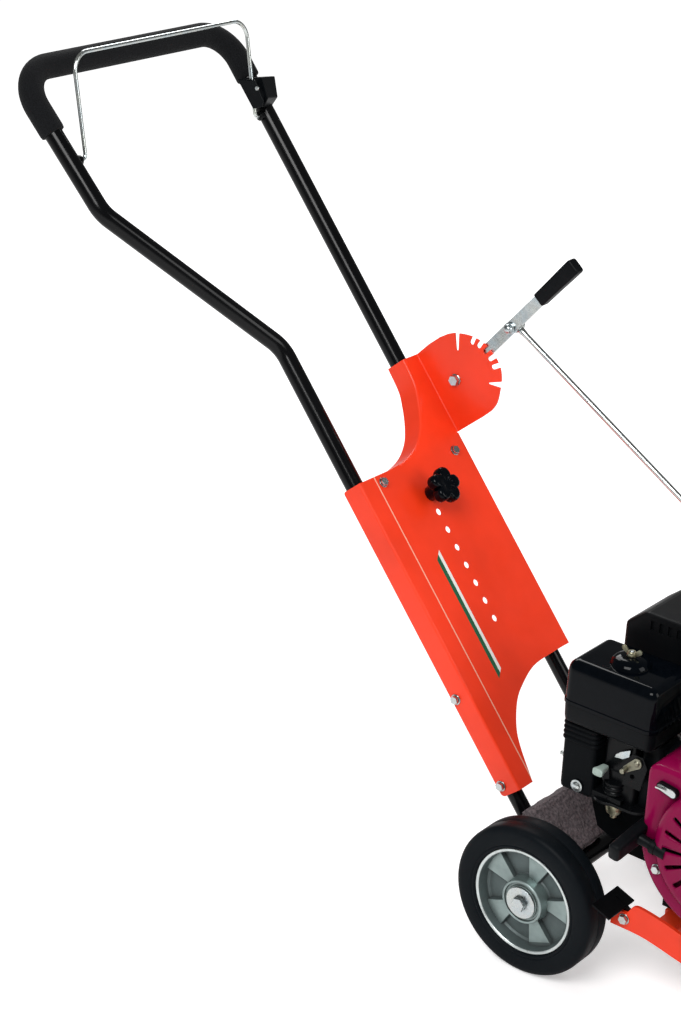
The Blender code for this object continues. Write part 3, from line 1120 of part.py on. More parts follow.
fan = link("fan_cover", plate(fan_outline, FAN_FACE, FAN_BACK, "XZ"), material("fan_cover_red", FAN_RED,
                                                                               0.35),
           FRAME)
bevel(fan, 0.006, 1, 50)
boolean(fan, cutter(plate(inset_outline(fan_outline, 0.0035), FAN_FACE + 0.0030, FAN_BACK + 0.01, "XZ"),
                    FRAME,
                    "fan_inside"), "DIFFERENCE")
boolean(fan, cutter(rod(crank_spot(FAN_FACE - 0.01), crank_spot(FAN_FACE + 0.01), 0.072, 24), FRAME,
                    "fan_mouth"),
        "DIFFERENCE")
recoil_back = FAN_FACE - SEAT
recoil = turned([(0.0, RECOIL_FACE - 0.002), (0.030, RECOIL_FACE - 0.002), (0.034, RECOIL_FACE),
                 (RECOIL_RADIUS - 0.012, RECOIL_FACE), (RECOIL_RADIUS - 0.002, RECOIL_FACE + 0.005),
                 (RECOIL_RADIUS, recoil_back), (RECOIL_RADIUS - 0.004, recoil_back),
                 (RECOIL_RADIUS - 0.006, RECOIL_FACE + 0.0075), (RECOIL_RADIUS - 0.014, RECOIL_FACE + 0.0030),
                 (0.0, RECOIL_FACE + 0.0030)], crank_spot(0), sides=24)
recoil_object = link("recoil_housing", recoil, material("recoil_red", FAN_RED, 0.35), FRAME)
RECOIL_SLOTS = 12
for n in range(RECOIL_SLOTS):
    middle = math.radians(360 * n / RECOIL_SLOTS + 15)
    slot = box((0.046, RECOIL_FACE - 0.01, -0.0035), (0.068, RECOIL_FACE + 0.01, 0.0035))
    bmesh.ops.rotate(slot, matrix=Matrix.Rotation(-middle, 3, "Y"), verts=slot.verts)
    bmesh.ops.translate(slot, vec=crank_spot(0), verts=slot.verts)
    boolean(recoil_object, cutter(slot, FRAME, f"recoil_slot_{n + 1}"), "DIFFERENCE")
GUIDE_AT = Vector((0.190, -0.2130, 0.2672))
GRIP_AT = Vector((0.148, -0.2130, 0.2735))
pull_direction = (GRIP_AT - GUIDE_AT).normalized()
GUIDE_REACH = 0.008
GRIP_HALF = Vector((0.0085, 0.0430, 0.0120))
weld(recoil_object, rod(GUIDE_AT - pull_direction * 0.016, GUIDE_AT + pull_direction * GUIDE_REACH, 0.0080,
                        14),
     FRAME, "rope_guide_shape")
bar_axis = Vector((0.052, 0.935, 0.350)).normalized()
bar_turn = Matrix((pull_direction, bar_axis, pull_direction.cross(bar_axis))).transposed().to_4x4()
grip_bar = box(-GRIP_HALF, GRIP_HALF)
bmesh.ops.transform(grip_bar, matrix=Matrix.Translation(GRIP_AT) @ bar_turn, verts=grip_bar.verts)
recoil_grip = link("recoil_grip", grip_bar, material("recoil_grip_black", (0.02, 0.02, 0.02), 0.5), FRAME,
                   tuple(GRIP_AT))
bevel(recoil_grip, 0.005, 2, 40)
weld(recoil_grip, turned([(0, 0), (0.0040, 0), (0.0050, 0.012), (0.0080, 0.026), (0.0080, 0.034), (0, 0.034)],
                         tuple(GUIDE_AT + pull_direction * (GUIDE_REACH + SEAT)), pull_direction, 14),
     FRAME, "grip_stem_shape")

back_plate = plate(inset_outline(fan_outline, 0.0008), FAN_BACK + SEAT, FAN_BACK + 0.005, "XZ",
                   [circle((CRANK_X, CRANK_Z), 0.020, 16)])
weld(engine, back_plate, FRAME, "fan_back_plate_shape")

# Engine switch on the fan cover's face
SWITCH_AT = Vector((0.201, FAN_FACE - SEAT, 0.3465))
switch = plate(hull_outline([((SWITCH_AT.x, SWITCH_AT.z), 0.0065), ((0.183, 0.3500), 0.0055)], 3),
               SWITCH_AT.y - 0.0060, SWITCH_AT.y)
switch_object = link("engine_switch", switch, material("switch_black", (0.02, 0.02, 0.02), 0.45), FRAME,
                     tuple(SWITCH_AT))
weld(switch_object, box((0.1780, SWITCH_AT.y - 0.0120, 0.3475), (0.1940, SWITCH_AT.y - 0.0050, 0.3515)),
     FRAME,
     "switch_rib_shape")

# Fuel tank and cap
TANK_LOW = FAN_TOP + SEAT
TANK_TOP = 0.440
CAP_X = 0.300
CAP_Y = -0.060
NECK_RADIUS = 0.0200
tank = link("fuel_tank", box((0.170, -0.1500, TANK_LOW), (0.385, 0.0300, TANK_TOP)),
            material("tank_cream", (0.78, 0.74, 0.62), 0.4), FRAME)
bevel(tank, 0.014, 2, 40)
weld(tank, rod((CAP_X, CAP_Y, TANK_TOP - 0.002), (CAP_X, CAP_Y, TANK_TOP + 0.008), NECK_RADIUS, 20), FRAME,
     "tank_neck_shape")
hollow = box((0.1735, -0.1465, TANK_LOW + 0.0035), (0.3815, 0.0265, TANK_TOP - 0.0035))
tank_hollow = cutter(hollow, FRAME, "tank_hollow")
bevel(tank_hollow, 0.011, 1, 40)
boolean(tank, tank_hollow, "DIFFERENCE")
neck_bore = rod((CAP_X, CAP_Y, TANK_TOP - 0.010), (CAP_X, CAP_Y, TANK_TOP + 0.02), NECK_RADIUS - 0.0035, 20)
boolean(tank, cutter(neck_bore, FRAME, "neck_bore"), "DIFFERENCE")
cap = turned([(0, 0.0083), (NECK_RADIUS + RUNNING, 0.0083), (NECK_RADIUS + RUNNING, 0.0006), (0.0245, 0.0006),
              (0.0250, 0.0150), (0.0225, 0.0180), (0, 0.0180)], (CAP_X, CAP_Y, TANK_TOP), (0, 0, 1), 24)
link("fuel_cap", cap, material("fuel_cap_black", (0.02, 0.02, 0.02), 0.45), FRAME, (CAP_X, CAP_Y, TANK_TOP))

# Air cleaner with its stud and wing nut
CLEANER_LOW = 0.347
CLEANER_SEAM = 0.374
CLEANER_TOP = 0.434
CLEANER_SHELL = 0.003
STUD_X = 0.064
STUD_Y = -0.104
CLEANER_STUD = 0.0030
BOSS_TOP = CLEANER_TOP + 0.011
cleaner_box = ((0.003, -0.1535), (0.134, -0.0520))


def cleaner_shape(low, high, inset):
    (x0, y0), (x1, y1) = cleaner_box
    return box((x0 + inset, y0 + inset, low), (x1 - inset, y1 - inset, high))


cleaner_black = material("air_cleaner_black", (0.02, 0.02, 0.02), 0.4)
cover = link("air_cleaner_cover", cleaner_shape(CLEANER_SEAM - 0.015, CLEANER_TOP, 0), cleaner_black, FRAME)
bevel(cover, 0.010, 2, 40)
boolean(cover, cutter(cleaner_shape(CLEANER_SEAM - 0.03, CLEANER_SEAM, -0.02), FRAME, "cover_seam_cut"),
        "DIFFERENCE")
boss = turned([(0, 0), (0.0270, 0), (0.0230, BOSS_TOP - CLEANER_TOP), (0, BOSS_TOP - CLEANER_TOP)],
              (STUD_X, STUD_Y, CLEANER_TOP - 0.0008), (0, 0, 1), 20)
weld(cover, boss, FRAME, "cover_boss_shape")
BOSS_FACE = BOSS_TOP - 0.0008
cover_hollow = cutter(cleaner_shape(CLEANER_SEAM - 0.02, CLEANER_TOP - CLEANER_SHELL, 0.0040), FRAME,
                      "cover_hollow")
bevel(cover_hollow, 0.008, 1, 40)
boolean(cover, cover_hollow, "DIFFERENCE")
boolean(cover, cutter(rod((STUD_X, STUD_Y, CLEANER_LOW), (STUD_X, STUD_Y, BOSS_TOP + 0.02),
                          CLEANER_STUD + SEAT, 14), FRAME, "cover_stud_hole"), "DIFFERENCE")
base = link("air_cleaner_base", cleaner_shape(CLEANER_LOW, CLEANER_SEAM + 0.010, 0.002),
            material("cleaner_base_black", (0.02, 0.02, 0.02), 0.5), FRAME)
bevel(base, 0.005, 1, 40)
base_cut = cleaner_shape(CLEANER_SEAM - SEAT, CLEANER_SEAM + 0.03, -0.02)
boolean(base, cutter(base_cut, FRAME, "base_seam_cut"), "DIFFERENCE")
boolean(base, cutter(cleaner_shape(CLEANER_LOW + CLEANER_SHELL, CLEANER_SEAM + 0.02, 0.0065), FRAME,
                     "base_hollow"),
        "DIFFERENCE")
weld(base, rod((STUD_X, STUD_Y, CLEANER_LOW + 0.001), (STUD_X, STUD_Y, BOSS_FACE + 0.0080), CLEANER_STUD,
               14), FRAME,
     "cleaner_stud_shape")
ELBOW_X = 0.0240
ELBOW_Y = -0.1050
ELBOW_BORE = 0.0105
ELBOW_RIBS = 4
ELBOW_RIB_START = 0.3160
ELBOW_RIB_PITCH = 0.0070
boolean(base, cutter(rod((ELBOW_X, ELBOW_Y, CLEANER_LOW - 0.01), (ELBOW_X, ELBOW_Y, CLEANER_LOW + 0.01),
                         ELBOW_BORE, 16),
                     FRAME, "base_inlet"), "DIFFERENCE")
nut = link("wing_nut", ring(0.0065, CLEANER_STUD + SEAT, 0, 0.0070, (STUD_X, STUD_Y, BOSS_FACE + SEAT), (0,
                                                                                                         0,
                                                                                                         1),
                                                                                                         14),
           material("wing_nut_zinc", ZINC, 0.3, 0.9), FRAME, (STUD_X, STUD_Y, BOSS_FACE))
for name, side in (("near_wing_shape", -1), ("far_wing_shape", 1)):
    wing = plate([(side * 0.0048, BOSS_FACE + 0.0018), (side * 0.0145, BOSS_FACE + 0.0062),
                  (side * 0.0150, BOSS_FACE + 0.0125), (side * 0.0115, BOSS_FACE + 0.0130),
                  (side * 0.0048, BOSS_FACE + 0.0065)], -0.0010, 0.0010)
    bmesh.ops.translate(wing, vec=(STUD_X, STUD_Y, 0), verts=wing.verts)
    weld(nut, wing, FRAME, name)

# Carburettor, its ribbed inlet elbow and the manifold to the cylinder head
CARB_LOW_X = 0.0480
CARB_HIGH_X = 0.1000
CARB_MIDDLE_Z = 0.2665
carb = link("carburettor", box((CARB_LOW_X, -0.1250, 0.2450), (CARB_HIGH_X, -0.0820, 0.2900)),
            material("carburettor_cast", CAST, 0.5, 0.8), FRAME)
bevel(carb, 0.004, 1, 40)
bowl = turned([(0, 0.2080), (0.0150, 0.2080), (0.0200, 0.2130), (0.0200, 0.2470), (0, 0.2470)],
              (0.0720, -0.1030, 0), (0, 0, 1), 24)
weld(carb, bowl, FRAME, "float_bowl_shape")


def hose(path, outer, rib, pitch, bore, sides=16):
    """A hose along a path with ribs of the given height and pitch."""
    path = [Vector(p) for p in path]
    dense = [path[0]]
    travelled = [0.0]
    for a, b in zip(path, path[1:]):
        parts = max(1, round((b - a).length / (pitch / 4)))
        for n in range(parts):
            dense.append(a.lerp(b, (n + 1) / parts))
            travelled.append(travelled[-1] + (b - a).length / parts)
    bm = bmesh.new()
    outside = []
    inside = []
    tangent = (dense[1] - dense[0]).normalized()
    side = tangent.orthogonal().normalized()
    last = len(dense) - 1
    for n, here in enumerate(dense):
        new = (dense[min(n + 1, last)] - dense[max(n - 1, 0)]).normalized()
        side = tangent.rotation_difference(new) @ side
        tangent = new
        other = tangent.cross(side)
        spokes = [side * math.cos(2 * math.pi * k / sides) + other * math.sin(2 * math.pi * k / sides)
                  for k in range(sides)]
        skin = outer + rib * math.cos(2 * math.pi * travelled[n] / pitch)
        outside.append([bm.verts.new(here + skin * spoke) for spoke in spokes])
        if n % 4 == 0 or n == last:
            inside.append([bm.verts.new(here + bore * spoke) for spoke in spokes])
    skins = (outside, inside)
    for rings in skins:
        for low, high in zip(rings, rings[1:]):
            for k in range(sides):
                m = (k + 1) % sides
                bm.faces.new([low[k], low[m], high[m], high[k]])
    for end in (0, -1):
        for k in range(sides):
            m = (k + 1) % sides
            bm.faces.new([skins[0][end][k], skins[0][end][m], skins[1][end][m], skins[1][end][k]])
    bmesh.ops.recalc_face_normals(bm, faces=bm.faces)
    return bm


ELBOW_END = CARB_LOW_X - SEAT
elbow_low, elbow_high = (-0.0020, -0.1400, 0.2480), (ELBOW_END, -0.0850, CLEANER_LOW - SEAT)
elbow = link("intake_elbow", box(elbow_low, elbow_high), material("elbow_black", (0.015, 0.015, 0.015),
                                                                  0.5), FRAME)
bevel(elbow, 0.004, 2, 40)
for n in range(ELBOW_RIBS):
    rib_low = ELBOW_RIB_START + ELBOW_RIB_PITCH * n
    rib = box((elbow_low[0] - 0.0020, elbow_low[1] - 0.0020, rib_low),
              (elbow_high[0] - 0.0080, elbow_high[1] + 0.0020, rib_low + ELBOW_RIB_PITCH / 2))
    weld(elbow, rib, FRAME, f"elbow_rib_{n + 1}")
for name, start, end in (("elbow_inlet", (ELBOW_X, ELBOW_Y, CARB_MIDDLE_Z), (ELBOW_X, ELBOW_Y,
                                                                             CLEANER_LOW + 0.01)),
                         ("elbow_outlet", (ELBOW_X - 0.006, ELBOW_Y, CARB_MIDDLE_Z),
                          (CARB_LOW_X + 0.01, ELBOW_Y, CARB_MIDDLE_Z))):
    boolean(elbow, cutter(rod(start, end, ELBOW_BORE, 16), FRAME, name), "DIFFERENCE")
boolean(carb, cutter(rod((CARB_LOW_X - 0.01, ELBOW_Y, CARB_MIDDLE_Z), (CARB_HIGH_X + 0.01, ELBOW_Y,
                                                                       CARB_MIDDLE_Z),
                         0.0085, 16), FRAME, "carburettor_throat"), "DIFFERENCE")
MANIFOLD_END = Vector((0.1370, -0.0400 - SEAT, 0.3320))
manifold_path = rounded([(CARB_HIGH_X + SEAT, ELBOW_Y, CARB_MIDDLE_Z), (0.1230, ELBOW_Y, CARB_MIDDLE_Z),
                         (MANIFOLD_END.x, -0.0680, MANIFOLD_END.z), tuple(MANIFOLD_END)], 0.016, 3)
link("intake_manifold", hose(manifold_path, 0.0120, 0.0, 0.0500, 0.0085, 10),
     material("manifold_black", (0.03, 0.03, 0.03), 0.5), FRAME)

# Choke lever on the carburettor's near face and throttle lever on its bracket
CHOKE_AT = Vector((0.0580, -0.1250 - SEAT, 0.2760))
choke = plate(hull_outline([((CHOKE_AT.x, CHOKE_AT.z), 0.0060), ((0.0565, 0.2915), 0.0050)], 3),
              CHOKE_AT.y - 0.0025, CHOKE_AT.y)
choke_object = link("choke_lever", choke, material("choke_grey", (0.30, 0.30, 0.30), 0.5), FRAME,
                    tuple(CHOKE_AT))
weld(choke_object, turned([(0, 0.0010), (0.0045, 0.0010), (0.0060, 0.0080), (0.0065, 0.0200), (0.0050,
                                                                                               0.0220),
                           (0, 0.0220)], (0.0565, CHOKE_AT.y, 0.2915), (0, -1, 0), 14), FRAME,
                           "choke_knob_shape")
bracket = plate([(0.0850, 0.2800), (0.1150, 0.2800), (0.1190, 0.3150), (0.1120, 0.3280), (0.0950, 0.3280)],
                -0.1320, -0.1300)
weld(carb, bracket, FRAME, "throttle_bracket_shape")
weld(carb, box((0.0850, -0.1305, 0.2785), (0.1000, -0.1200, 0.2805)), FRAME, "bracket_foot_shape")
THROTTLE_AT = Vector((0.1050, -0.1320 - SEAT, 0.3180))
throttle = plate(hull_outline([((THROTTLE_AT.x, THROTTLE_AT.z), 0.0070), ((0.0900, 0.3050), 0.0045)], 3),
                 THROTTLE_AT.y - 0.0025, THROTTLE_AT.y)
throttle_object = link("throttle_lever", throttle, material("throttle_zinc", ZINC, 0.35, 0.9), FRAME,
                       tuple(THROTTLE_AT))
weld(throttle_object, rod((0.0900, THROTTLE_AT.y - 0.0120, 0.3050), (0.0900, THROTTLE_AT.y - 0.0010,
                                                                     0.3050), 0.0035, 12),
     FRAME, "throttle_pin_shape")

# Muffler with its short pipe to the cylinder head
MUFFLER_LOW = 0.3955
MUFFLER_TOP = 0.476
muffler_outline = [(0.012, MUFFLER_LOW), (0.158, MUFFLER_LOW), (0.158, MUFFLER_TOP), (0.040, MUFFLER_TOP),
                   (0.012, MUFFLER_TOP - 0.023)]
muffler = link("muffler", plate(muffler_outline, -0.0400, 0.0660), material("muffler_black", (0.02, 0.02,
                                                                                              0.02), 0.6),
               FRAME)
bevel(muffler, 0.005, 2, 30)
port = Vector((CRANK_X, -0.005, CRANK_Z)) + cylinder_axis * 0.1660
weld(muffler, rod(port + cylinder_up * (0.040 + SEAT), port + cylinder_up * 0.0600, 0.0090, 16), FRAME,
     "exhaust_pipe_shape")
MUFFLER_SLOTS = 6
for n in range(MUFFLER_SLOTS):
    left = 0.050 + 0.013 * n
    vent = box((left, -0.0500, MUFFLER_TOP - 0.022), (left + 0.0055, -0.0370, MUFFLER_TOP - 0.009))
    boolean(muffler, cutter(vent, FRAME, f"muffler_slot_{n + 1}"), "DIFFERENCE")
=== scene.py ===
import math

import bmesh
import bpy
from mathutils import Matrix, Quaternion, Vector
from mathutils import noise as math_noise


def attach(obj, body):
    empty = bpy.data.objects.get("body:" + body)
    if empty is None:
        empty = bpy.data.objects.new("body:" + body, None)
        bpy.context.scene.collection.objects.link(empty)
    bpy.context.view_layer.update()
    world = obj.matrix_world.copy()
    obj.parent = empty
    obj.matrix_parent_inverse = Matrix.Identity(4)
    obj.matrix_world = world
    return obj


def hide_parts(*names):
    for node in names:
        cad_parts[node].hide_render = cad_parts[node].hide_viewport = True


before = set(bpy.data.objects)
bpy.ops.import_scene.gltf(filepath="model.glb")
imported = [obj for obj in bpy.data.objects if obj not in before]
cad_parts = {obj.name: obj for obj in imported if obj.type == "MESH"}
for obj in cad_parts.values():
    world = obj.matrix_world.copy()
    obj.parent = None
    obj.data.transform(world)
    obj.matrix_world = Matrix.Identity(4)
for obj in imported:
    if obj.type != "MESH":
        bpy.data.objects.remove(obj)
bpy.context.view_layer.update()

# The CAD's working frame: X forward from the rear axle, Y to the left, Z up
AHEAD = (1, 0, 0)
LEFT = (0, 1, 0)
RIGHT = (0, -1, 0)
UP = (0, 0, 1)
OFF = Vector((0.0675, 0.0493, 0.0035))
LEAN = math.radians(39.9)
AXLE = 0.1015
SLOPE = Matrix.Translation(OFF + Vector((0, 0, AXLE))) @ Matrix.Rotation(-LEAN, 4, "Y")
FLAT = Matrix.Translation(OFF)


# Materials
def new_material(name):
    """A material with its node tree and its shader."""
    made = bpy.data.materials.new(name)
    made.use_nodes = True
    tree = made.node_tree
    shader = tree.nodes["Principled BSDF"]
    return made, tree, shader


def node(tree, kind, **values):
    """Adds a node and sets its properties."""
    made = tree.nodes.new(kind)
    for key, value in values.items():
        setattr(made, key, value)
    return made


def feed(tree, shader, values):
    """Sets a shader's inputs by name; a value is a number, a colour or a socket."""
    for name, value in values.items():
        if isinstance(value, bpy.types.NodeSocket):
            tree.links.new(value, shader.inputs[name])
        else:
            shader.inputs[name].default_value = value


def tinted(colour, factor, lift=0.0):
    """A colour made darker or lighter."""
    return tuple(min(1.0, c * factor + lift) for c in colour)


def cells(tree, scale):
    """Distance in a pattern of cells in object space."""
    place = node(tree, "ShaderNodeTexCoord")
    made = node(tree, "ShaderNodeTexVoronoi")
    made.inputs["Scale"].default_value = scale
    tree.links.new(place.outputs["Object"], made.inputs["Vector"])
    return made.outputs["Distance"]


def noise(tree, scale, detail=4.0, rough=0.55):
    """A noise texture in object space."""
    place = node(tree, "ShaderNodeTexCoord")
    made = node(tree, "ShaderNodeTexNoise")
    made.inputs["Scale"].default_value = scale
    made.inputs["Detail"].default_value = detail
    made.inputs["Roughness"].default_value = rough
    tree.links.new(place.outputs["Object"], made.inputs["Vector"])
    return made.outputs["Fac"]


def ramp(tree, source, stops):
    """Colours a value through (place, colour) stops."""
    made = node(tree, "ShaderNodeValToRGB")
    elements = made.color_ramp.elements
    while len(elements) < len(stops):
        elements.new(0.5)
    for element, (place, colour) in zip(elements, stops):
        element.position = place
        element.color = (*colour, 1.0)
    tree.links.new(source, made.inputs["Fac"])
    return made.outputs["Color"]


def spread(tree, source, low, high, start=0.3, end=0.7):
    """Maps a value between start and end to low and high."""
    made = node(tree, "ShaderNodeMapRange")
    made.inputs["From Min"].default_value = start
    made.inputs["From Max"].default_value = end
    made.inputs["To Min"].default_value = low
    made.inputs["To Max"].default_value = high
    tree.links.new(source, made.inputs["Value"])
    return made.outputs["Result"]


def maths(tree, kind, first, second):
    """A maths node; each input is a number or a socket."""
    made = node(tree, "ShaderNodeMath", operation=kind)
    for value, socket in ((first, made.inputs[0]), (second, made.inputs[1])):
        if isinstance(value, float):
            socket.default_value = value
        else:
            tree.links.new(value, socket)
    return made.outputs[0]


def between(tree, value, low, high):
    """One between low and high and nothing outside."""
    return maths(tree, "MULTIPLY", maths(tree, "GREATER_THAN", value, low),
        maths(tree, "LESS_THAN", value, high))


def bump(tree, shader, layers):
    """Chains bumps; each layer is (height output, distance in metres, strength)."""
    last = None
    for source, distance, strength in layers:
        made = node(tree, "ShaderNodeBump")
        made.inputs["Distance"].default_value = distance
        made.inputs["Strength"].default_value = strength
        tree.links.new(source, made.inputs["Height"])
        if last is not None:
            tree.links.new(last, made.inputs["Normal"])
        last = made.outputs["Normal"]
    tree.links.new(last, shader.inputs["Normal"])


def blend_colour(tree, factor, first, second):
    """Mixes two colours, each a tuple or a socket."""
    made = node(tree, "ShaderNodeMix", data_type="RGBA")
    for value, index in ((first, 6), (second, 7)):
        if isinstance(value, tuple):
            made.inputs[index].default_value = (*value, 1.0)
        else:
            tree.links.new(value, made.inputs[index])
    tree.links.new(factor, made.inputs[0])
    return made.outputs[2]


def painted_recess_shade(tree, colour, shade_colour, reach, amount):
    """Paints shade into a colour where the surface is closed in."""
    hidden = node(tree, "ShaderNodeAmbientOcclusion", samples=4, only_local=False)
    hidden.inputs["Distance"].default_value = reach
    factor = spread(tree, hidden.outputs["AO"], amount, 0.0, 0.25, 0.85)
    return blend_colour(tree, factor, colour, shade_colour)


def paint(name, colour, rough, coat, peel=0.00004, shade_colour=None, specular=0.5):
    """Sprayed or powdered paint: orange peel, faint cloudiness and small specks."""
    made, tree, shader = new_material(name)
    cloud = noise(tree, 9.0, 3.0)
    low = tinted(colour, 0.9)
    high = tinted(colour, 1.07, 0.002)
    shade = ramp(tree, cloud, ((0.3, low), (0.7, high)))
    speck = ramp(tree, noise(tree, 620.0, 2.0), ((0.7, (0, 0, 0)), (0.76, (1, 1, 1))))
    shade = blend_colour(tree, spread(tree, speck, 0.0, 0.05, 0.0, 1.0), shade, tinted(colour, 0.9, 0.03))
    # Painted shade: the colour darkens where ambient occlusion finds the surface closed in.
    if shade_colour:
        shade = painted_recess_shade(tree, shade, shade_colour, 0.012, 0.45)
    feed(tree, shader, {"Base Color": shade, "Roughness": spread(tree, noise(tree, 30.0, 5.0), *rough),
        "Specular IOR Level": specular, "Coat Weight": coat, "Coat Roughness": 0.12})
    bump(tree, shader, [(noise(tree, 420.0, 2.0), peel, 0.5), (noise(tree, 60.0, 2.0), peel * 4, 0.25)])
    return made


def zinc(name, colour=(0.62, 0.66, 0.66), rough=(0.2, 0.36)):
    """Bright zinc plating with a faint yellow and blue bloom and fine marks."""
    made, tree, shader = new_material(name)
    bloom = noise(tree, 45.0, 3.0)
    warm = (colour[0] * 1.04, colour[1] * 1.02, colour[2] * 0.95)
    cool = (colour[0] * 0.86, colour[1] * 0.94, colour[2] * 1.0)
    shade = ramp(tree, bloom, ((0.3, cool), (0.5, colour), (0.72, warm)))
    # Painted shade: the plating darkens where ambient occlusion finds it closed in.
    shade = painted_recess_shade(tree, shade, (0.05, 0.045, 0.04), 0.006, 0.6)
    feed(tree, shader, {"Base Color": shade, "Metallic": 1.0})
    marks = noise(tree, 160.0, 4.0, 0.6)
    tree.links.new(spread(tree, marks, *rough), shader.inputs["Roughness"])
    bump(tree, shader, [(marks, 0.00003, 0.5)])
    return made


def cast(name, colour, rough=(0.42, 0.62), grain=260.0, depth=0.00018, metallic=0.85):
    """Cast or die-cast light alloy with a sandy skin and painted shade in its recesses."""
    made, tree, shader = new_material(name)
    cloud = noise(tree, 35.0, 4.0)
    shade = ramp(tree, cloud, ((0.3, tinted(colour, 0.78)), (0.7, tinted(colour, 1.12))))
    # Painted shade: the alloy darkens where ambient occlusion finds the surface closed in.
    shade = painted_recess_shade(tree, shade, (0.035, 0.032, 0.03), 0.01, 0.75)
    feed(tree, shader, {"Base Color": shade, "Metallic": metallic,
        "Roughness": spread(tree, noise(tree, 90.0), *rough)})
    bump(tree, shader, [(noise(tree, grain, 4.0, 0.65), depth, 0.6)])
    return made


def plastic(name, colour=(0.003, 0.0038, 0.0048), rough=(0.34, 0.48), grain=900.0,
        depth=0.00005, specular=0.1):
    """Moulded plastic with a fine spark-eroded grain and soft scuffs."""
    made, tree, shader = new_material(name)
    scuff = noise(tree, 60.0, 6.0, 0.7)
    shade = ramp(tree, scuff, ((0.45, colour), (0.8, tinted(colour, 1.4, 0.001))))
    feed(tree, shader, {"Base Color": shade, "Roughness": spread(tree, scuff, *rough),
        "Specular IOR Level": specular})
    bump(tree, shader, [(noise(tree, grain, 2.0), depth, 0.6)])
    return made


def rubber(name, colour=(0.004, 0.006, 0.008), rough=(0.4, 0.56), dust=0.12):
    """Solid rubber with mould haze and a little dust."""
    made, tree, shader = new_material(name)
    haze = noise(tree, 22.0, 6.0, 0.65)
    shade = ramp(tree, haze, ((0.35, colour), (0.75, tinted(colour, 1.0, 0.02 * dust))))
    feed(tree, shader, {"Base Color": shade, "Roughness": spread(tree, haze, *rough),
        "Specular IOR Level": 0.07})
    bump(tree, shader, [(noise(tree, 700.0, 3.0), 0.00006, 0.5), (noise(tree, 120.0, 3.0), 0.0001, 0.3)])
    return made


def foam(name, colour):
    """Closed-cell foam: pores on a dull skin."""
    made, tree, shader = new_material(name)
    pores = cells(tree, 520.0)
    shade = ramp(tree, pores, ((0.05, tinted(colour, 0.4)), (0.5, tinted(colour, 1.5))))
    feed(tree, shader, {"Base Color": shade, "Roughness": 0.86, "Sheen Weight": 0.04,
        "Specular IOR Level": 0.1, "Sheen Roughness": 0.6})
    bump(tree, shader, [(pores, 0.00045, 0.8), (noise(tree, 90.0, 3.0), 0.0004, 0.4)])
    return made


def granular(name, dark, light):
    """Rough cast weight: coarse grains, some lighter."""
    made, tree, shader = new_material(name)
    grains = noise(tree, 240.0, 6.0, 0.75)
    shade = ramp(tree, grains,
        ((0.36, dark), (0.56, tuple((a + b) / 2 for a, b in zip(dark, light))), (0.76, light)))
    feed(tree, shader, {"Base Color": shade, "Roughness": 0.82})
    bump(tree, shader, [(cells(tree, 190.0), 0.0016, 0.7), (grains, 0.0008, 0.8)])
    return made


ORANGE = (0.9, 0.04, 0.006)
orange = paint("orange_powder_coat", ORANGE, (0.3, 0.42), 0.15, specular=0.35)
# The chassis orange and the fan cover red get painted shade in their recesses, in the dark colours given
# here.
deep_orange = paint("chassis_orange_coat", (0.72, 0.045, 0.01), (0.32, 0.44), 0.12,
    shade_colour=(0.08, 0.015, 0.006), specular=0.35)
black_gloss = paint("black_gloss_coat", (0.0012, 0.0013, 0.0018), (0.14, 0.22), 0.0, 0.00003, specular=0.22)
black_satin = paint("black_satin_coat", (0.0015, 0.0016, 0.0022), (0.34, 0.46), 0.0, 0.00005, specular=0.08)
fan_red = paint("fan_cover_red", (0.215, 0.0003, 0.046), (0.14, 0.22), 0.0, 0.00003,
    shade_colour=(0.02, 0.001, 0.005), specular=0.13)
tank_cream = paint("tank_cream", (0.74, 0.7, 0.56), (0.2, 0.3), 0.5, 0.00003)
bright_zinc = zinc("bright_zinc")
drawn_zinc = zinc("drawn_zinc", (0.68, 0.72, 0.71), (0.16, 0.3))
bare_steel = zinc("bare_steel", (0.42, 0.41, 0.4), (0.28, 0.46))
rim_alloy = cast("rim_alloy", (0.34, 0.42, 0.41), (0.36, 0.5), 420.0, 0.00008, 0.8)
# A darker copy of the rim alloy for the pockets and the rim bed under the tyre: painted shade.
pocket_alloy = cast("pocket_alloy", (0.11, 0.14, 0.14), (0.46, 0.6), 420.0, 0.0001, 0.5)
lip_alloy = cast("lip_alloy", (0.72, 0.78, 0.77), (0.26, 0.36), 420.0, 0.00004, 0.6)
engine_alloy = cast("engine_alloy", (0.42, 0.42, 0.41))
carb_alloy = cast("carburettor_alloy", (0.3, 0.29, 0.22), (0.36, 0.5))
black_plastic = plastic("black_plastic")
gloss_plastic = plastic("gloss_black_plastic", (0.0008, 0.0016, 0.0028), (0.05, 0.09), 300.0, 0.00002, 0.12)
grey_plastic = plastic("grey_plastic", (0.34, 0.42, 0.38), (0.36, 0.48))
tyre_rubber = rubber("tyre_rubber")
hose_rubber = rubber("hose_rubber", (0.0026, 0.0034, 0.0044), (0.42, 0.58), 0.05)
foam_black = foam("foam_black", (0.0035, 0.0038, 0.0045))
ballast = granular("ballast_grain", (0.03, 0.024, 0.027), (0.24, 0.19, 0.2))
muffler_black = paint("muffler_black", (0.0022, 0.0027, 0.0034), (0.36, 0.5), 0.0, 0.0001, specular=0.12)
carb_black = paint("carburettor_black", (0.0022, 0.0027, 0.0034), (0.24, 0.36), 0.0, 0.00006, specular=0.16)
olive_zinc = zinc("olive_zinc", (0.4, 0.38, 0.26), (0.24, 0.4))

STRIPE_SLANT = -0.9
STRIPE_ENDS = (0.309, 0.4904)
GREEN_STRIPE = (-0.0495, -0.0422, (0.015, 0.11, 0.05))
WHITE_STRIPE = (-0.0422, -0.0367, (0.8, 0.8, 0.76))
# Where across the panel the painted highlight along the near fold lies, and its colour.
FOLD_LINE = (-0.0858, -0.0838)
FOLD_HIGHLIGHT = (0.92, 0.42, 0.3)


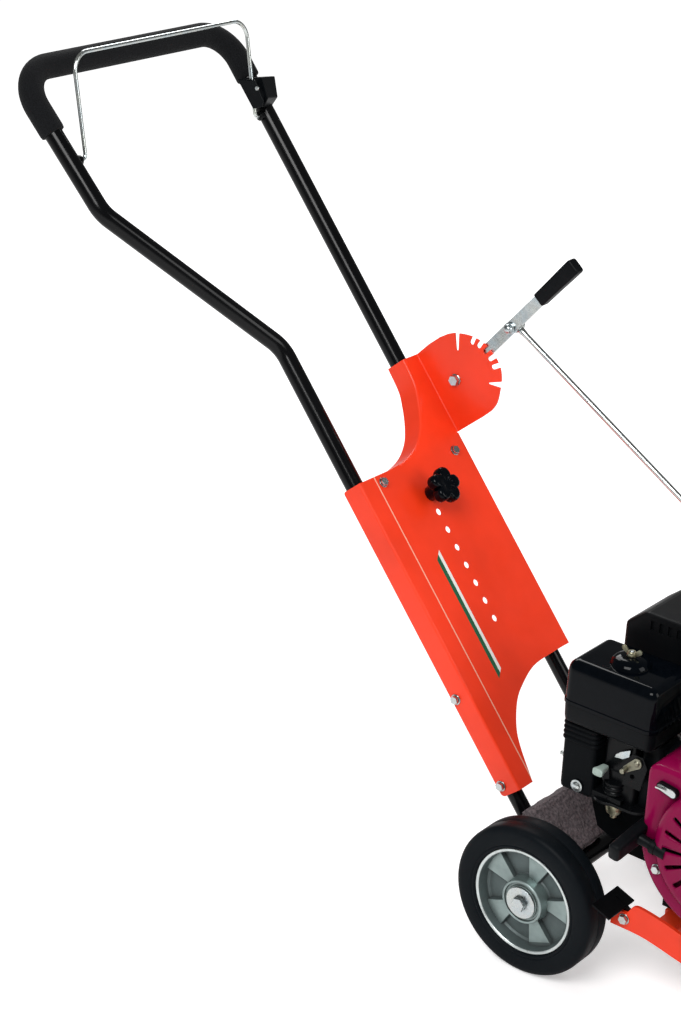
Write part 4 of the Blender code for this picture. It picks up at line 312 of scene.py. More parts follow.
def striped_panel():
    """The orange paint with a plain green and white double stripe and a painted highlight along the near
    fold.
    """
    made = paint("panel_orange_striped", ORANGE, (0.3, 0.42), 0.15, specular=0.35)
    tree = made.node_tree
    shader = tree.nodes["Principled BSDF"]
    base = shader.inputs["Base Color"].links[0].from_socket
    place = node(tree, "ShaderNodeTexCoord")
    turned_place = node(tree, "ShaderNodeMapping", vector_type="TEXTURE")
    turned_place.inputs["Location"].default_value = SLOPE.translation
    turned_place.inputs["Rotation"].default_value = (0, -LEAN, 0)
    tree.links.new(place.outputs["Object"], turned_place.inputs["Vector"])
    parts = node(tree, "ShaderNodeSeparateXYZ")
    tree.links.new(turned_place.outputs["Vector"], parts.inputs["Vector"])
    out, across, up = (parts.outputs[axis] for axis in "XYZ")
    long = between(tree, maths(tree, "ADD", maths(tree, "MULTIPLY", across, STRIPE_SLANT), up), *STRIPE_ENDS)
    front = between(tree, out, 0.0009, 0.01)
    for low, high, colour in (GREEN_STRIPE, WHITE_STRIPE):
        mask = maths(tree, "MULTIPLY", between(tree, across, low, high), long)
        base = blend_colour(tree, maths(tree, "MULTIPLY", mask, front), base, colour)
    # Painted highlight: a pale band along the near fold stands in for the bend's reflection.
    painted_highlight = maths(tree, "MULTIPLY", between(tree, across, *FOLD_LINE), between(tree, out, -0.0015, 0.01))
    base = blend_colour(tree, painted_highlight, base, FOLD_HIGHLIGHT)
    tree.links.new(base, shader.inputs["Base Color"])
    return made


panel_orange = striped_panel()
LOOKS = (
    (tyre_rubber, "right_wheel_tyre left_wheel_tyre right_gauge_wheel left_gauge_wheel"),
    (rim_alloy, "right_wheel_rim left_wheel_rim"),
    (black_gloss, "axle_tube right_upright left_upright handlebar"),
    (bright_zinc, "rear_axle axle_end_bolt scraper_bolt panel_bolt_upper panel_bolt_lower guide_bolt_right "
                  "guide_bolt_left depth_lever lever_pivot_bolt rod_rear_stud wing_nut throttle_lever"),
    (deep_orange, "chassis_frame"),
    (ballast, "ballast_block"),
    (black_satin, "engine_bed wheel_scraper handlebar_guide handlebar_carriage front_lift belt_guard"),
    (orange, "side_arm console_panel cutter_hood"),
    (foam_black, "foam_grip"),
    (drawn_zinc, "bail depth_rod"),
    (black_plastic, "bail_housing lever_grip recoil_grip engine_switch fuel_cap air_cleaner_base "
                    "intake_manifold"),
    (gloss_plastic, "height_knob air_cleaner_cover"),
    (bare_steel, "cutter_shaft cutter_rotor drive_pulley driven_pulley crankshaft"),
    (hose_rubber, "drive_belt intake_elbow"),
    (engine_alloy, "engine_block cylinder_head"),
    (fan_red, "fan_cover recoil_housing"),
    (tank_cream, "fuel_tank"),
    (carb_alloy, "carburettor"),
    (grey_plastic, "choke_lever"),
    (muffler_black, "muffler"),
)
for look, names in LOOKS:
    for name in names.split():
        piece = bpy.data.objects[name]
        piece.data.materials.clear()
        piece.data.materials.append(look)


# Shapes
def rounded(points, radius, steps):
    """Rounds the corners of an open path of 3-D points."""
    points = [Vector(p) for p in points]
    out = [points[0]]
    for before, here, after in zip(points, points[1:], points[2:]):
        a = (before - here).normalized()
        b = (after - here).normalized()
        half = a.angle(b) / 2
        reach = min(radius / math.tan(half), (before - here).length * 0.49, (after - here).length * 0.49)
        bend = reach * math.tan(half)
        centre = here + (a + b).normalized() * (bend / math.sin(half))
        start = here + a * reach - centre
        spin = start.rotation_difference(here + b * reach - centre)
        for step in range(steps + 1):
            out.append(centre + Quaternion(spin.axis, spin.angle * step / steps) @ start)
    out.append(points[-1])
    return out


def sweep(bm, path, radii, sides):
    """A round skin along a path; radii is one radius or one for each point."""
    path = [Vector(p) for p in path]
    if not isinstance(radii, (list, tuple)):
        radii = [radii] * len(path)
    rings = []
    tangent = (path[1] - path[0]).normalized()
    side = tangent.orthogonal().normalized()
    last = len(path) - 1
    for n, here in enumerate(path):
        new = ((here - path[max(n - 1, 0)]).normalized()
            + (path[min(n + 1, last)] - here).normalized()).normalized()
        side = tangent.rotation_difference(new) @ side
        tangent = new
        other = tangent.cross(side)
        rings.append([bm.verts.new(here + radii[n] * (side * math.cos(2 * math.pi * k / sides)
            + other * math.sin(2 * math.pi * k / sides))) for k in range(sides)])
    skin(bm, rings)
    return bm


def skin(bm, rings, caps=True):
    """Faces between closed rings of corners, and over both ends."""
    count = len(rings[0])
    for low, high in zip(rings, rings[1:]):
        for k in range(count):
            m = (k + 1) % count
            bm.faces.new([low[k], low[m], high[m], high[k]])
    if caps:
        bm.faces.new(list(reversed(rings[0])))
        bm.faces.new(rings[-1])


def aim(bm, centre, axis):
    """Turns a shape from the Z axis to axis and moves it to centre."""
    turn = Vector(UP).rotation_difference(Vector(axis).normalized()).to_matrix().to_4x4()
    bmesh.ops.transform(bm, matrix=Matrix.Translation(centre) @ turn, verts=bm.verts)


def turned(bm, profile, centre, axis, sides):
    """Turns a profile of (radius, height) points about the axis through centre."""
    made = bmesh.new()
    rings = []
    for step in range(sides):
        angle = 2 * math.pi * step / sides
        rings.append([made.verts.new((r * math.cos(angle), r * math.sin(angle), h)) for r, h in profile])
    count = len(profile)
    for step in range(sides):
        here = rings[step]
        there = rings[(step + 1) % sides]
        for n in range(count):
            m = (n + 1) % count
            if profile[n][0] < 1e-9 and profile[m][0] < 1e-9:
                continue
            made.faces.new([here[n], there[n], there[m], here[m]])
    bmesh.ops.remove_doubles(made, verts=made.verts, dist=1e-7)
    aim(made, centre, axis)
    merge(bm, made)
    return bm


def merge(bm, extra):
    """Adds a shape to another and frees it."""
    mesh = bpy.data.meshes.new("passing")
    extra.to_mesh(mesh)
    extra.free()
    bm.from_mesh(mesh)
    bpy.data.meshes.remove(mesh)


def block(bm, low, high):
    """A box between two corners."""
    made = bmesh.new()
    bmesh.ops.create_cube(made, size=1.0)
    bmesh.ops.scale(made, vec=Vector(high) - Vector(low), verts=made.verts)
    bmesh.ops.translate(made, vec=(Vector(high) + Vector(low)) / 2, verts=made.verts)
    merge(bm, made)


def heading(angle):
    """The flat direction at an angle in degrees."""
    return Vector((math.cos(math.radians(angle)), math.sin(math.radians(angle))))


def arc(centre, radius, start, end, steps):
    """Flat points round a centre, from one angle to another in degrees."""
    points = []
    for n in range(steps + 1):
        angle = math.radians(start + (end - start) * n / steps)
        points.append((centre[0] + radius * math.cos(angle), centre[1] + radius * math.sin(angle)))
    return points


def mirrored(half):
    """A profile of (radius, height) points with its mirror image."""
    return half + [(r, -h) for r, h in reversed(half)]


def circle(centre, radius, sides):
    """A closed ring of flat points."""
    return arc(centre, radius, 0, 360, sides)[:-1]


PLANES = {
    "XZ": Matrix(((1, 0, 0, 0), (0, 0, 1, 0), (0, 1, 0, 0), (0, 0, 0, 1))),
    "YZ": Matrix(((0, 0, 1, 0), (1, 0, 0, 0), (0, 1, 0, 0), (0, 0, 0, 1))),
    "XY": Matrix.Identity(4),
}


def plate(bm, outline, low, high, plane="XZ", holes=()):
    """A flat plate with holes, between two distances from its plane."""
    curve = bpy.data.curves.new("outline", "CURVE")
    curve.dimensions = "2D"
    curve.fill_mode = "BOTH"
    curve.extrude = (high - low) / 2
    for loop in (outline, *holes):
        spline = curve.splines.new("POLY")
        spline.points.add(len(loop) - 1)
        for point, (a, b) in zip(spline.points, loop):
            point.co = (a, b, 0, 1)
        spline.use_cyclic_u = True
    holder = bpy.data.objects.new("outline", curve)
    bpy.context.scene.collection.objects.link(holder)
    bpy.context.view_layer.update()
    mesh = bpy.data.meshes.new_from_object(holder.evaluated_get(bpy.context.evaluated_depsgraph_get()))
    bpy.data.objects.remove(holder)
    bpy.data.curves.remove(curve)
    made = bmesh.new()
    made.from_mesh(mesh)
    bpy.data.meshes.remove(mesh)
    bmesh.ops.remove_doubles(made, verts=made.verts, dist=1e-6)
    bmesh.ops.translate(made, vec=(0, 0, (high + low) / 2), verts=made.verts)
    bmesh.ops.transform(made, matrix=PLANES[plane], verts=made.verts)
    bmesh.ops.recalc_face_normals(made, faces=made.faces)
    merge(bm, made)
    return bm


def smooth_curve(points, steps):
    """A smooth line through flat points."""
    out = []
    last = len(points) - 1
    for n in range(last):
        p0, p1, p2, p3 = (Vector(points[max(min(k, last), 0)]) for k in (n - 1, n, n + 1, n + 2))
        for step in range(steps):
            t = step / steps
            square = (2 * p0 - 5 * p1 + 4 * p2 - p3) * t * t
            cube = (3 * p1 - p0 - 3 * p2 + p3) * t * t * t
            out.append(tuple(0.5 * (2 * p1 + (p2 - p0) * t + square + cube)))
    out.append(tuple(points[last]))
    return out


def fill(bm, loops, at):
    """Fills flat loops, the first the outline and the rest holes; at places a flat point."""
    edges = []
    for loop in loops:
        verts = [bm.verts.new(at(a, b)) for a, b in loop]
        edges += [bm.edges.new((verts[n], verts[(n + 1) % len(verts)])) for n in range(len(verts))]
    bmesh.ops.triangle_fill(bm, use_beauty=True, use_dissolve=False, edges=edges)


def loft(bm, sections, caps=True):
    """A skin through closed sections with the same number of points."""
    skin(bm, [[bm.verts.new(p) for p in section] for section in sections], caps)
    return bm


def hex_bolt(bm, centre, axis, head, across, shank, length, washer, thick=0.0012):
    """A bolt on the surface at centre: shank, washer with a rounded rim and a chamfered hex head."""
    turned(bm, [(0, -length), (shank * 0.8, -length), (shank, -length + 0.0006), (shank, 0.0), (0, 0.0)],
        centre, axis, 24)
    turned(bm, [(0, 0), (washer - 0.0003, 0), (washer, 0.0003), (washer, thick - 0.0003),
        (washer - 0.0004, thick), (0, thick)], centre, axis, 56)
    made = bmesh.new()
    radius = across / math.sqrt(3)
    sections = []
    corners = [math.radians(60 * k + 12) for k in range(6)]
    for scale, up in ((0.97, 0), (1.0, head * 0.12), (1.0, head * 0.8), (0.9, head)):
        reach = radius * scale
        sections.append([(reach * math.cos(a), reach * math.sin(a), thick + up) for a in corners])
    loft(made, sections)
    aim(made, centre, axis)
    merge(bm, made)
    return bm


def quarter(radius, steps=6):
    """How far in and out each step of a quarter turn is."""
    turns = [math.pi / 2 * step / steps for step in range(steps + 1)]
    return [(radius * (1 - math.cos(a)), radius * math.sin(a)) for a in turns]


def bend(bm, line, radius, start, way):
    """A bend of the sheet along a line of (y, u, outward y, outward u); way is -1 back and 1 forward."""
    rows = []
    for deep, out in quarter(radius):
        rows.append([bm.verts.new((start + way * deep, y + ny * out, u + nu * out)) for y, u, ny, nu in line])
    for low, high in zip(rows, rows[1:]):
        for k in range(len(line) - 1):
            bm.faces.new([low[k], low[k + 1], high[k + 1], high[k]])
    return rows[-1]


def drop(bm, row, depth):
    """Carries the last row of a bend on to the flange's edge."""
    last_row = [bm.verts.new((depth, v.co.y, v.co.z)) for v in row]
    for k in range(len(row) - 1):
        bm.faces.new([row[k], row[k + 1], last_row[k + 1], last_row[k]])


def squircle(half_a, half_b, power, count=40):
    """A loop between an ellipse and a rectangle."""
    out = []
    for k in range(count):
        t = 2 * math.pi * k / count
        a, b = math.cos(t), math.sin(t)
        out.append((half_a * math.copysign(abs(a) ** (2 / power), a),
            half_b * math.copysign(abs(b) ** (2 / power), b)))
    return out


def rounded_rect(x0, y0, x1, y1, radius):
    """A rectangle with round corners."""
    left, right, low, high = x0 + radius, x1 - radius, y0 + radius, y1 - radius
    out = []
    for n, centre in enumerate(((right, high), (left, high), (left, low), (right, low))):
        out += arc(centre, radius, 90 * n, 90 * n + 90, 8)
    return out


def case(bm, box_at, layers, radius):
    """A moulded case through layers of (inset, height); corners keep their centres."""
    x0, y0, x1, y1 = box_at
    sections = []
    for inset, z in layers:
        flat = rounded_rect(x0 + inset, y0 + inset, x1 - inset, y1 - inset, max(radius - inset, 0.002))
        sections.append([(x, y, z) for x, y in flat])
    return loft(bm, sections)


def new_piece(name, bm, matrix):
    """Turns a shape into an object, placed by matrix."""
    bmesh.ops.transform(bm, matrix=matrix, verts=bm.verts)
    bmesh.ops.recalc_face_normals(bm, faces=bm.faces)
    mesh = bpy.data.meshes.new(name)
    bm.to_mesh(mesh)
    bm.free()
    made = bpy.data.objects.new(name, mesh)
    bpy.context.scene.collection.objects.link(made)
    return made


def round_edges(piece, width):
    """Rounds a piece's sharp edges."""
    step = piece.modifiers.new("bevel", "BEVEL")
    step.width = width
    step.segments = 2
    step.limit_method = "ANGLE"
    step.angle_limit = math.radians(40)
    step.harden_normals = True


def shade_smooth(mesh, sharp_from):
    """Shades a mesh smooth, apart from edges over sharp_from degrees."""
    for face in mesh.polygons:
        face.use_smooth = True
    mesh.set_sharp_from_angle(angle=math.radians(sharp_from))


def show(name, bm, body, look, slot, matrix=FLAT, extra=False, smooth=35, edge=0.0, sheet=0.0):
    """Makes a piece, gives an open skin the thickness sheet and lets it ride on its body.

    The piece replaces the CAD node named slot, unless it is an extra beside one that does.
    """
    made = new_piece(name, bm, matrix)
    mesh = made.data
    for one in look if isinstance(look, tuple) else (look,):
        mesh.materials.append(one)
    if sheet:
        step = made.modifiers.new("sheet", "SOLIDIFY")
        step.thickness = sheet
        step.offset = -1
        step.use_even_offset = True
    if edge:
        round_edges(made, edge)
    shade_smooth(mesh, smooth)
    if not extra:
        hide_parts(slot)
    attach(made, body)
    return made


def carve(target, bm):
    """Cuts a shape out of a piece for good."""
    knife = new_piece("knife", bm, FLAT)
    step = target.modifiers.new("cut", "BOOLEAN")
    step.operation = "DIFFERENCE"
    step.object = knife
    bpy.context.view_layer.update()
    shape = bpy.data.meshes.new_from_object(target.evaluated_get(bpy.context.evaluated_depsgraph_get()))
    target.modifiers.clear()
    target.data = shape
    bpy.data.objects.remove(knife)


def soften(name, width):
    """Gives a CAD node small rounded edges."""
    piece = bpy.data.objects[name]
    flat = piece.modifiers.new("flatten", "DECIMATE")
    flat.decimate_type = "DISSOLVE"
    flat.angle_limit = math.radians(1.0)
    flat.delimit = {"MATERIAL"}
    round_edges(piece, width)
    shade_smooth(piece.data, 35)


# Handlebar, grip and bail
TUBE = -0.0242
SPACING = 0.0995
BAR_RADIUS = 0.0127
BAR_LOW = 0.46
BAR_SPREAD = 0.8
BAR_BEND = 1.05
BAR_TOP = 1.266
BAIL_PIVOT = 1.128
NEAR = (-0.285, -0.306)
bar_path = rounded([(TUBE, -SPACING, BAR_LOW), (TUBE, -SPACING, BAR_SPREAD), (TUBE, NEAR[0], BAR_BEND),
    (TUBE, NEAR[1], BAR_TOP), (TUBE, SPACING, BAR_TOP), (TUBE, SPACING, BAR_LOW)], 0.05, 14)
near_slope = (NEAR[1] - NEAR[0]) / (BAR_TOP - BAR_BEND)


def near_y(height):
    """Where the near leg's upper length is at a height."""
    return NEAR[0] + near_slope * (height - BAR_BEND)


bm = sweep(bmesh.new(), bar_path, BAR_RADIUS, 36)
for y, side in ((near_y(BAIL_PIVOT) + BAR_RADIUS, 1), (SPACING - BAR_RADIUS, -1)):
    turned(bm, [(0.0036, 0), (0.0075, 0), (0.0068, 0.0045), (0.0036, 0.0052)], (TUBE, y, BAIL_PIVOT),
        (0, side, 0), 24)
show("handlebar_tube", bm, "handle", black_gloss, "handlebar", SLOPE)


def trimmed(path, near_height, far_height):
    """The part of the handlebar above a height on each leg."""
    top = [n for n, p in enumerate(path) if p.z > far_height + 1e-6 and p.y > 0]
    start = [n for n, p in enumerate(path) if p.z > near_height + 1e-6 and p.y < 0][0]
    return ([Vector((TUBE, near_y(near_height), near_height))] + path[start:top[-1] + 1]
        + [Vector((TUBE, SPACING, far_height))])


GRIP_FROM = (1.172, 1.187)
GRIP_RADII = (0.015, 0.0165, 0.0172)
grip_path = trimmed(bar_path, *GRIP_FROM)
first, last = grip_path[0], grip_path[-1]
grip_path = ([first, first.lerp(grip_path[1], 0.02), first.lerp(grip_path[1], 0.12)] + grip_path[1:-1]
    + [last.lerp(grip_path[-2], 0.08), last.lerp(grip_path[-2], 0.01), last])
radii = [*GRIP_RADII] + [GRIP_RADII[-1]] * (len(grip_path) - 6) + [*reversed(GRIP_RADII)]
bm = sweep(bmesh.new(), grip_path, radii, 40)
show("grip_foam", bm, "handle", foam_black, "foam_grip", SLOPE)

BAIL_REST = math.radians(30.0)
BAIL_REACH = 0.138
BAIL_RADIUS = 0.0028
BUSH = 0.001
LEG_NEAR = -0.2655
LEG_FAR = 0.0735
reach = Vector((math.sin(BAIL_REST), 0, math.cos(BAIL_REST))) * BAIL_REACH
low_near = Vector((TUBE, LEG_NEAR, BAIL_PIVOT))
low_far = Vector((TUBE, LEG_FAR, BAIL_PIVOT))
top_near, top_far = low_near + reach, low_far + reach
bail_bends = rounded([low_near + reach * 0.5, top_near, top_far, low_far + reach * 0.5], 0.026, 14)
near_end = (TUBE, near_y(BAIL_PIVOT) + BAR_RADIUS + BUSH, BAIL_PIVOT)
far_end = (TUBE, SPACING - BAR_RADIUS - BUSH, BAIL_PIVOT)
bail_path = (rounded([near_end, low_near, low_near + reach * 0.5], 0.007, 6)[:-1] + bail_bends
    + rounded([low_far + reach * 0.5, low_far, far_end], 0.007, 6)[1:])
show("bail_rod", sweep(bmesh.new(), bail_path, BAIL_RADIUS, 18), "bail_arm", drawn_zinc, "bail", SLOPE)

# Uprights: open tubes with a visible wall
UPRIGHT_LOW = -0.03
UPRIGHT_TOP = 0.6
for name, y in (("right_upright", -SPACING), ("left_upright", SPACING)):
    bm = turned(bmesh.new(), [(0.0092, UPRIGHT_LOW), (0.0108, UPRIGHT_LOW), (0.0111, UPRIGHT_LOW + 0.0003),
        (0.0111, UPRIGHT_TOP - 0.0003), (0.0108, UPRIGHT_TOP), (0.0092, UPRIGHT_TOP)], (TUBE, y, 0), UP, 36)
    show(name + "_tube", bm, "chassis", black_gloss, name, SLOPE)

# Console panel: one folded sheet with a return flange round its top cut and a notched quadrant folded forward
FACE = 0.0018
SIDE = 0.1165
BACK = -0.0322
BEND = 0.0035
SHEET = 0.0025
LOW_NEAR = 0.123
LOW_FAR = 0.259
TOP_NEAR = 0.585
FLANGE_TOP = 0.5945
FOLD_LOW = 0.5955
FOLD_TOP = 0.7205
KNOB = 0.532
HOLE_PITCH = 0.0275
PANEL_BOLTS = (0.268, 0.138)
GUIDE_BOLTS = (-0.0735, 0.0885)
GUIDE_BOLT_UP = 0.573
top_cut = smooth_curve([(-0.06, TOP_NEAR), (-0.0432, 0.5854), (-0.0191, 0.588), (0.005, 0.5939),
    (0.026, 0.604), (0.0443, 0.6189), (0.06, 0.6405), (0.072, 0.6635), (0.08, 0.685), (0.0825, FOLD_TOP)], 6)
low_cut = smooth_curve([(SIDE - BEND, LOW_FAR), (0.0765, LOW_FAR), (0.0255, 0.256), (-0.0165, 0.24),
    (-0.0405, 0.224), (-0.0635, 0.197), (-0.075, 0.171), (-0.086, LOW_NEAR)], 6)
FLANGE_FROM = 10
turn_line = []
for n in range(FLANGE_FROM, len(top_cut)):
    here = Vector(top_cut[n])
    ahead = Vector(top_cut[min(n + 1, len(top_cut) - 1)]) - Vector(top_cut[n - 1])
    away = Vector((-ahead.y, ahead.x)).normalized() if n < len(top_cut) - 1 else Vector((-1, 0))
    inner = here - away * BEND
    turn_line.append((inner.x, min(inner.y, FOLD_TOP), away.x, away.y))
turn_line[-1] = (turn_line[-1][0], FOLD_TOP, -1.0, 0.0)

FRONT_BEND = 0.002
FOLD_Y = SIDE - SHEET - FRONT_BEND
panel_outline = ([(-SIDE + BEND, TOP_NEAR)] + top_cut[:FLANGE_FROM] + [(y, u) for y, u, _, _ in turn_line]
    + [(FOLD_Y, FOLD_TOP), (FOLD_Y, FOLD_LOW), (SIDE - BEND, FLANGE_TOP)] + low_cut
    + [(-SIDE + BEND, LOW_NEAR)])
panel_holes = [circle((0, KNOB - HOLE_PITCH * n), 0.005, 28) for n in range(8)]
panel_holes += [circle((y, GUIDE_BOLT_UP), 0.0034, 20) for y in GUIDE_BOLTS]
bm = bmesh.new()
fill(bm, [panel_outline] + panel_holes, lambda a, b: (FACE, a, b))
bend(bm, [(-SIDE + BEND, LOW_NEAR, -1, 0), (-SIDE + BEND, TOP_NEAR, -1, 0)], BEND, FACE, -1)
near_flange = [(FACE - BEND, TOP_NEAR), (FACE - BEND, LOW_NEAR)]
near_flange += arc((BACK + 0.006, LOW_NEAR + 0.006), 0.006, 270, 180, 5)
near_flange += arc((BACK + 0.004, TOP_NEAR - 0.004), 0.004, 180, 90, 5)
fill(bm, [near_flange] + [circle((TUBE, up), 0.0034, 20) for up in PANEL_BOLTS], lambda a, b: (a, -SIDE, b))
drop(bm, bend(bm, [(SIDE - BEND, FLANGE_TOP, 1, 0), (SIDE - BEND, LOW_FAR, 1, 0)], BEND, FACE, -1), BACK)
drop(bm, bend(bm, turn_line, BEND, FACE, -1), BACK)
bend(bm, [(FOLD_Y, FOLD_LOW, 1, 0), (FOLD_Y, FOLD_TOP, 1, 0)], FRONT_BEND, FACE, 1)
PIVOT = Vector((0.0436, 0.66))
EDGE = ((-65, 0.0701), (-54, 0.0736), (-37, 0.0756), (-29, 0.0783), (-15, 0.0818), (-6, 0.0815), (4, 0.0799),
    (14, 0.0788), (25, 0.0754), (38, 0.0718), (48, 0.069), (58, 0.0678))


def edge_radius(angle):
    """Radius of the quadrant's edge at an angle in degrees."""
    for (start, low), (end, high) in zip(EDGE, EDGE[1:]):
        if start <= angle <= end:
            return low + (high - low) * (angle - start) / (end - start)
    return EDGE[-1][1]


def edge_point(angle):
    """A point of the quadrant's edge."""
    return tuple(PIVOT + edge_radius(angle) * heading(angle))


LEVER_TURN = 9.6
REST_NOTCH = -40
rim = []
angle = EDGE[0][0]
for offset, floor, half in ((REST_NOTCH, 0.056, 0.0045), (-20, 0.0675, 0.0034), (-10, 0.0675, 0.0034),
        (0, 0.0675, 0.0034), (10, 0.065, 0.0034), (20, 0.062, 0.0034), (42, 0.043, 0.0021)):
    middle = LEVER_TURN + offset
    radius = edge_radius(middle)
    reach_angle = math.degrees(math.asin(half / radius))
    run = middle - reach_angle - angle
    steps = max(2, int(run / 3))
    rim += [edge_point(angle + run * n / steps) for n in range(steps + 1)]
    along = heading(middle)
    across = Vector((-along.y, along.x))
    if offset == REST_NOTCH:
        rim += [tuple(PIVOT + along * (floor + 0.0012) - across * 0.0012), tuple(PIVOT + along * floor),
            tuple(PIVOT + along * (floor + 0.0012) + across * 0.0012)]
    else:
        base = PIVOT + along * (floor + half)
        rim += [tuple(base + half * (along * math.cos(math.radians(t)) + across * math.sin(math.radians(t))))
            for t in (-90, -120, -150, 180, 150, 120, 90)]
    angle = middle + reach_angle
rim += [edge_point(56), edge_point(58)]
quadrant = ([(FACE + FRONT_BEND, FOLD_LOW), (0.056, FOLD_LOW)] + rim
    + [(0.069, 0.7209), (0.054, 0.7231), (0.03, 0.7231), (FACE + FRONT_BEND, FOLD_TOP)])
fill(bm, [quadrant, circle(PIVOT, 0.0053, 28)], lambda a, b: (a, SIDE - SHEET, b))
bmesh.ops.remove_doubles(bm, verts=bm.verts, dist=2e-6)
show("panel_sheet", bm, "chassis", panel_orange, "console_panel", SLOPE, sheet=SHEET, edge=0.0006)
skin_mesh = bpy.data.objects["panel_sheet"].data
front = [f for f in skin_mesh.polygons if (f.center - (SLOPE @ Vector((FACE, 0, 0.4)))).length < 0.12]
if sum(f.normal.x for f in front) < 0:
    skin_mesh.flip_normals()

# Bolts of the panel, the guide, the axle and the scraper
for name, height in zip(("panel_bolt_upper", "panel_bolt_lower"), PANEL_BOLTS):
    bm = hex_bolt(bmesh.new(), (TUBE, -SIDE - 0.0003, height), RIGHT, 0.0045, 0.011, 0.003, 0.0058, 0.0075)
    show(name + "_turned", bm, "chassis", bright_zinc, name, SLOPE)
for name, y in zip(("guide_bolt_right", "guide_bolt_left"), GUIDE_BOLTS):
    bm = hex_bolt(bmesh.new(), (FACE + 0.0003, y, GUIDE_BOLT_UP), AHEAD, 0.004, 0.011, 0.003, 0.008, 0.0072)
    show(name + "_turned", bm, "chassis", bright_zinc, name, SLOPE)
AXLE_END = 0.2115
bm = hex_bolt(bmesh.new(), (0, -AXLE_END, AXLE), RIGHT, 0.0065, 0.018, 0.008,
    2 * AXLE_END - 0.01, 0.022, 0.0014)
show("axle_turned", bm, "chassis", bright_zinc, "rear_axle")
bm = hex_bolt(bmesh.new(), (0, AXLE_END, AXLE), LEFT, 0.0065, 0.018, 0.005, 0.0095, 0.022, 0.0014)
show("axle_end_turned", bm, "chassis", bright_zinc, "axle_end_bolt")
bm = hex_bolt(bmesh.new(), (0.132, -0.1716, 0.118), RIGHT, 0.0045, 0.0115, 0.003, 0.01, 0.0075)
show("scraper_bolt_turned", bm, "chassis", bright_zinc, "scraper_bolt")

# Rear wheels: cast rims with broad spokes, solid tyres
WHEEL_Y = 0.188
SPOKES = 5
for prefix, body, y in (("right_wheel", "right_rear_wheel", -WHEEL_Y),
        ("left_wheel", "left_rear_wheel", WHEEL_Y)):
    hub = Vector((0, y, AXLE))
    half_rim = [(0.0084, 0.0225), (0.0234, 0.0225), (0.0238, 0.0196), (0.0268, 0.0196), (0.0272, 0.0222),
        (0.0298, 0.0222), (0.0308, 0.0214), (0.0322, 0.0045), (0.0342, 0.0026), (0.064, 0.0026),
        (0.0668, 0.005), (0.0692, 0.0185), (0.07, 0.0204), (0.071, 0.0211), (0.0738, 0.0211),
        (0.0746, 0.0203)]
    bm = turned(bmesh.new(), mirrored(half_rim), (0, y, AXLE), LEFT, 96)
    for n in range(SPOKES):
        middle = math.radians(5 + 360 / SPOKES * n)
        along = Vector((math.cos(middle), 0, math.sin(middle)))
        across = Vector((-math.sin(middle), 0, math.cos(middle)))
        sections = []
        for r in (0.029, 0.04, 0.052, 0.062, 0.069):
            width = r * math.tan(math.radians(14 + 2.5 * (r - 0.029) / 0.04))
            corners = ((width - 0.0008, 0.0092), (-width + 0.0008, 0.0092), (-width - 0.002, 0.0),
                (-width + 0.0008, -0.0092), (width - 0.0008, -0.0092), (width + 0.002, 0.0))
            sections.append([hub + along * r + across * side + Vector((0, h, 0)) for side, h in corners])
        loft(bm, sections)
    alloys = (rim_alloy, pocket_alloy, lip_alloy)
    rim_piece = show(prefix + "_cast_rim", bm, body, alloys, prefix + "_rim", edge=0.0007)
    # Pocket floors and walls and the rim bed under the tyre take the darker alloy as painted shade; the rim's
    # lips take the bright alloy.
    for face in rim_piece.data.polygons:
        spot = face.center - OFF - hub
        out = math.hypot(spot.x, spot.z)
        aside = abs(spot.y)
        in_pocket = 0.0325 < out < 0.07 and aside < 0.0088
        under_tyre = out > 0.0655 and aside < 0.02
        if in_pocket or under_tyre:
            face.material_index = 1
        if out > 0.0702 and aside > 0.02:
            face.material_index = 2
    half_tyre = [(0.0749, 0.0205), (0.0756, 0.0226), (0.0772, 0.0236), (0.079, 0.0234), (0.0796, 0.0228),
        (0.0804, 0.0235), (0.083, 0.0241), (0.09, 0.0244), (0.095, 0.0243), (0.0985, 0.0237),
        (0.1013, 0.0224), (0.1034, 0.0204), (0.1046, 0.018), (0.105, 0.0152), (0.105, 0.0008),
        (0.1047, 0.0004)]
    bm = turned(bmesh.new(), mirrored(half_tyre), (0, y, AXLE), LEFT, 128)
    show(prefix + "_solid_tyre", bm, body, tyre_rubber, prefix + "_tyre", smooth=50)

# Star knob with its hub and stud
LOBES = 5
LOBE_AT = 0.016
LOBE_RADIUS = 0.0102
WAIST = 0.0158


def star(turn):
    """Radius of a star with round lobes."""
    across = abs((turn * LOBES / (2 * math.pi) + 0.5) % 1.0 - 0.5) * 2 * math.pi / LOBES
    aside = LOBE_AT * math.sin(across)
    lobe = LOBE_AT * math.cos(across) + math.sqrt(max(LOBE_RADIUS ** 2 - aside ** 2, 0.0))
    return max(lobe, WAIST)


bm = bmesh.new()
sections = []
for scale, height in ((0.55, 0.0238), (0.82, 0.0238), (0.93, 0.025), (0.985, 0.0272), (1.0, 0.03),
        (1.0, 0.035), (0.98, 0.038), (0.93, 0.0402), (0.84, 0.0415), (0.7, 0.0418), (0.42, 0.0414),
        (0.36, 0.0406), (0.2, 0.0404)):
    reach = [(scale * star(t), t) for t in (2 * math.pi * k / 120 for k in range(120))]
    sections.append([(height, r * math.cos(t), KNOB + r * math.sin(t)) for r, t in reach])
loft(bm, sections)
turned(bm, [(0, 0), (0.0102, 0), (0.011, 0.001), (0.0094, 0.0215), (0, 0.0215)], (0.0028, 0, KNOB), AHEAD, 40)
show("star_knob", bm, "knob", gloss_plastic, "height_knob", SLOPE, smooth=60)
bm = turned(bmesh.new(), [(0, -0.006), (0.0034, -0.006), (0.004, -0.0052), (0.004, 0.0268), (0, 0.0268)],
    (TUBE, 0, KNOB), AHEAD, 24)
show("knob_stud", bm, "knob", bright_zinc, "height_knob", SLOPE, extra=True)

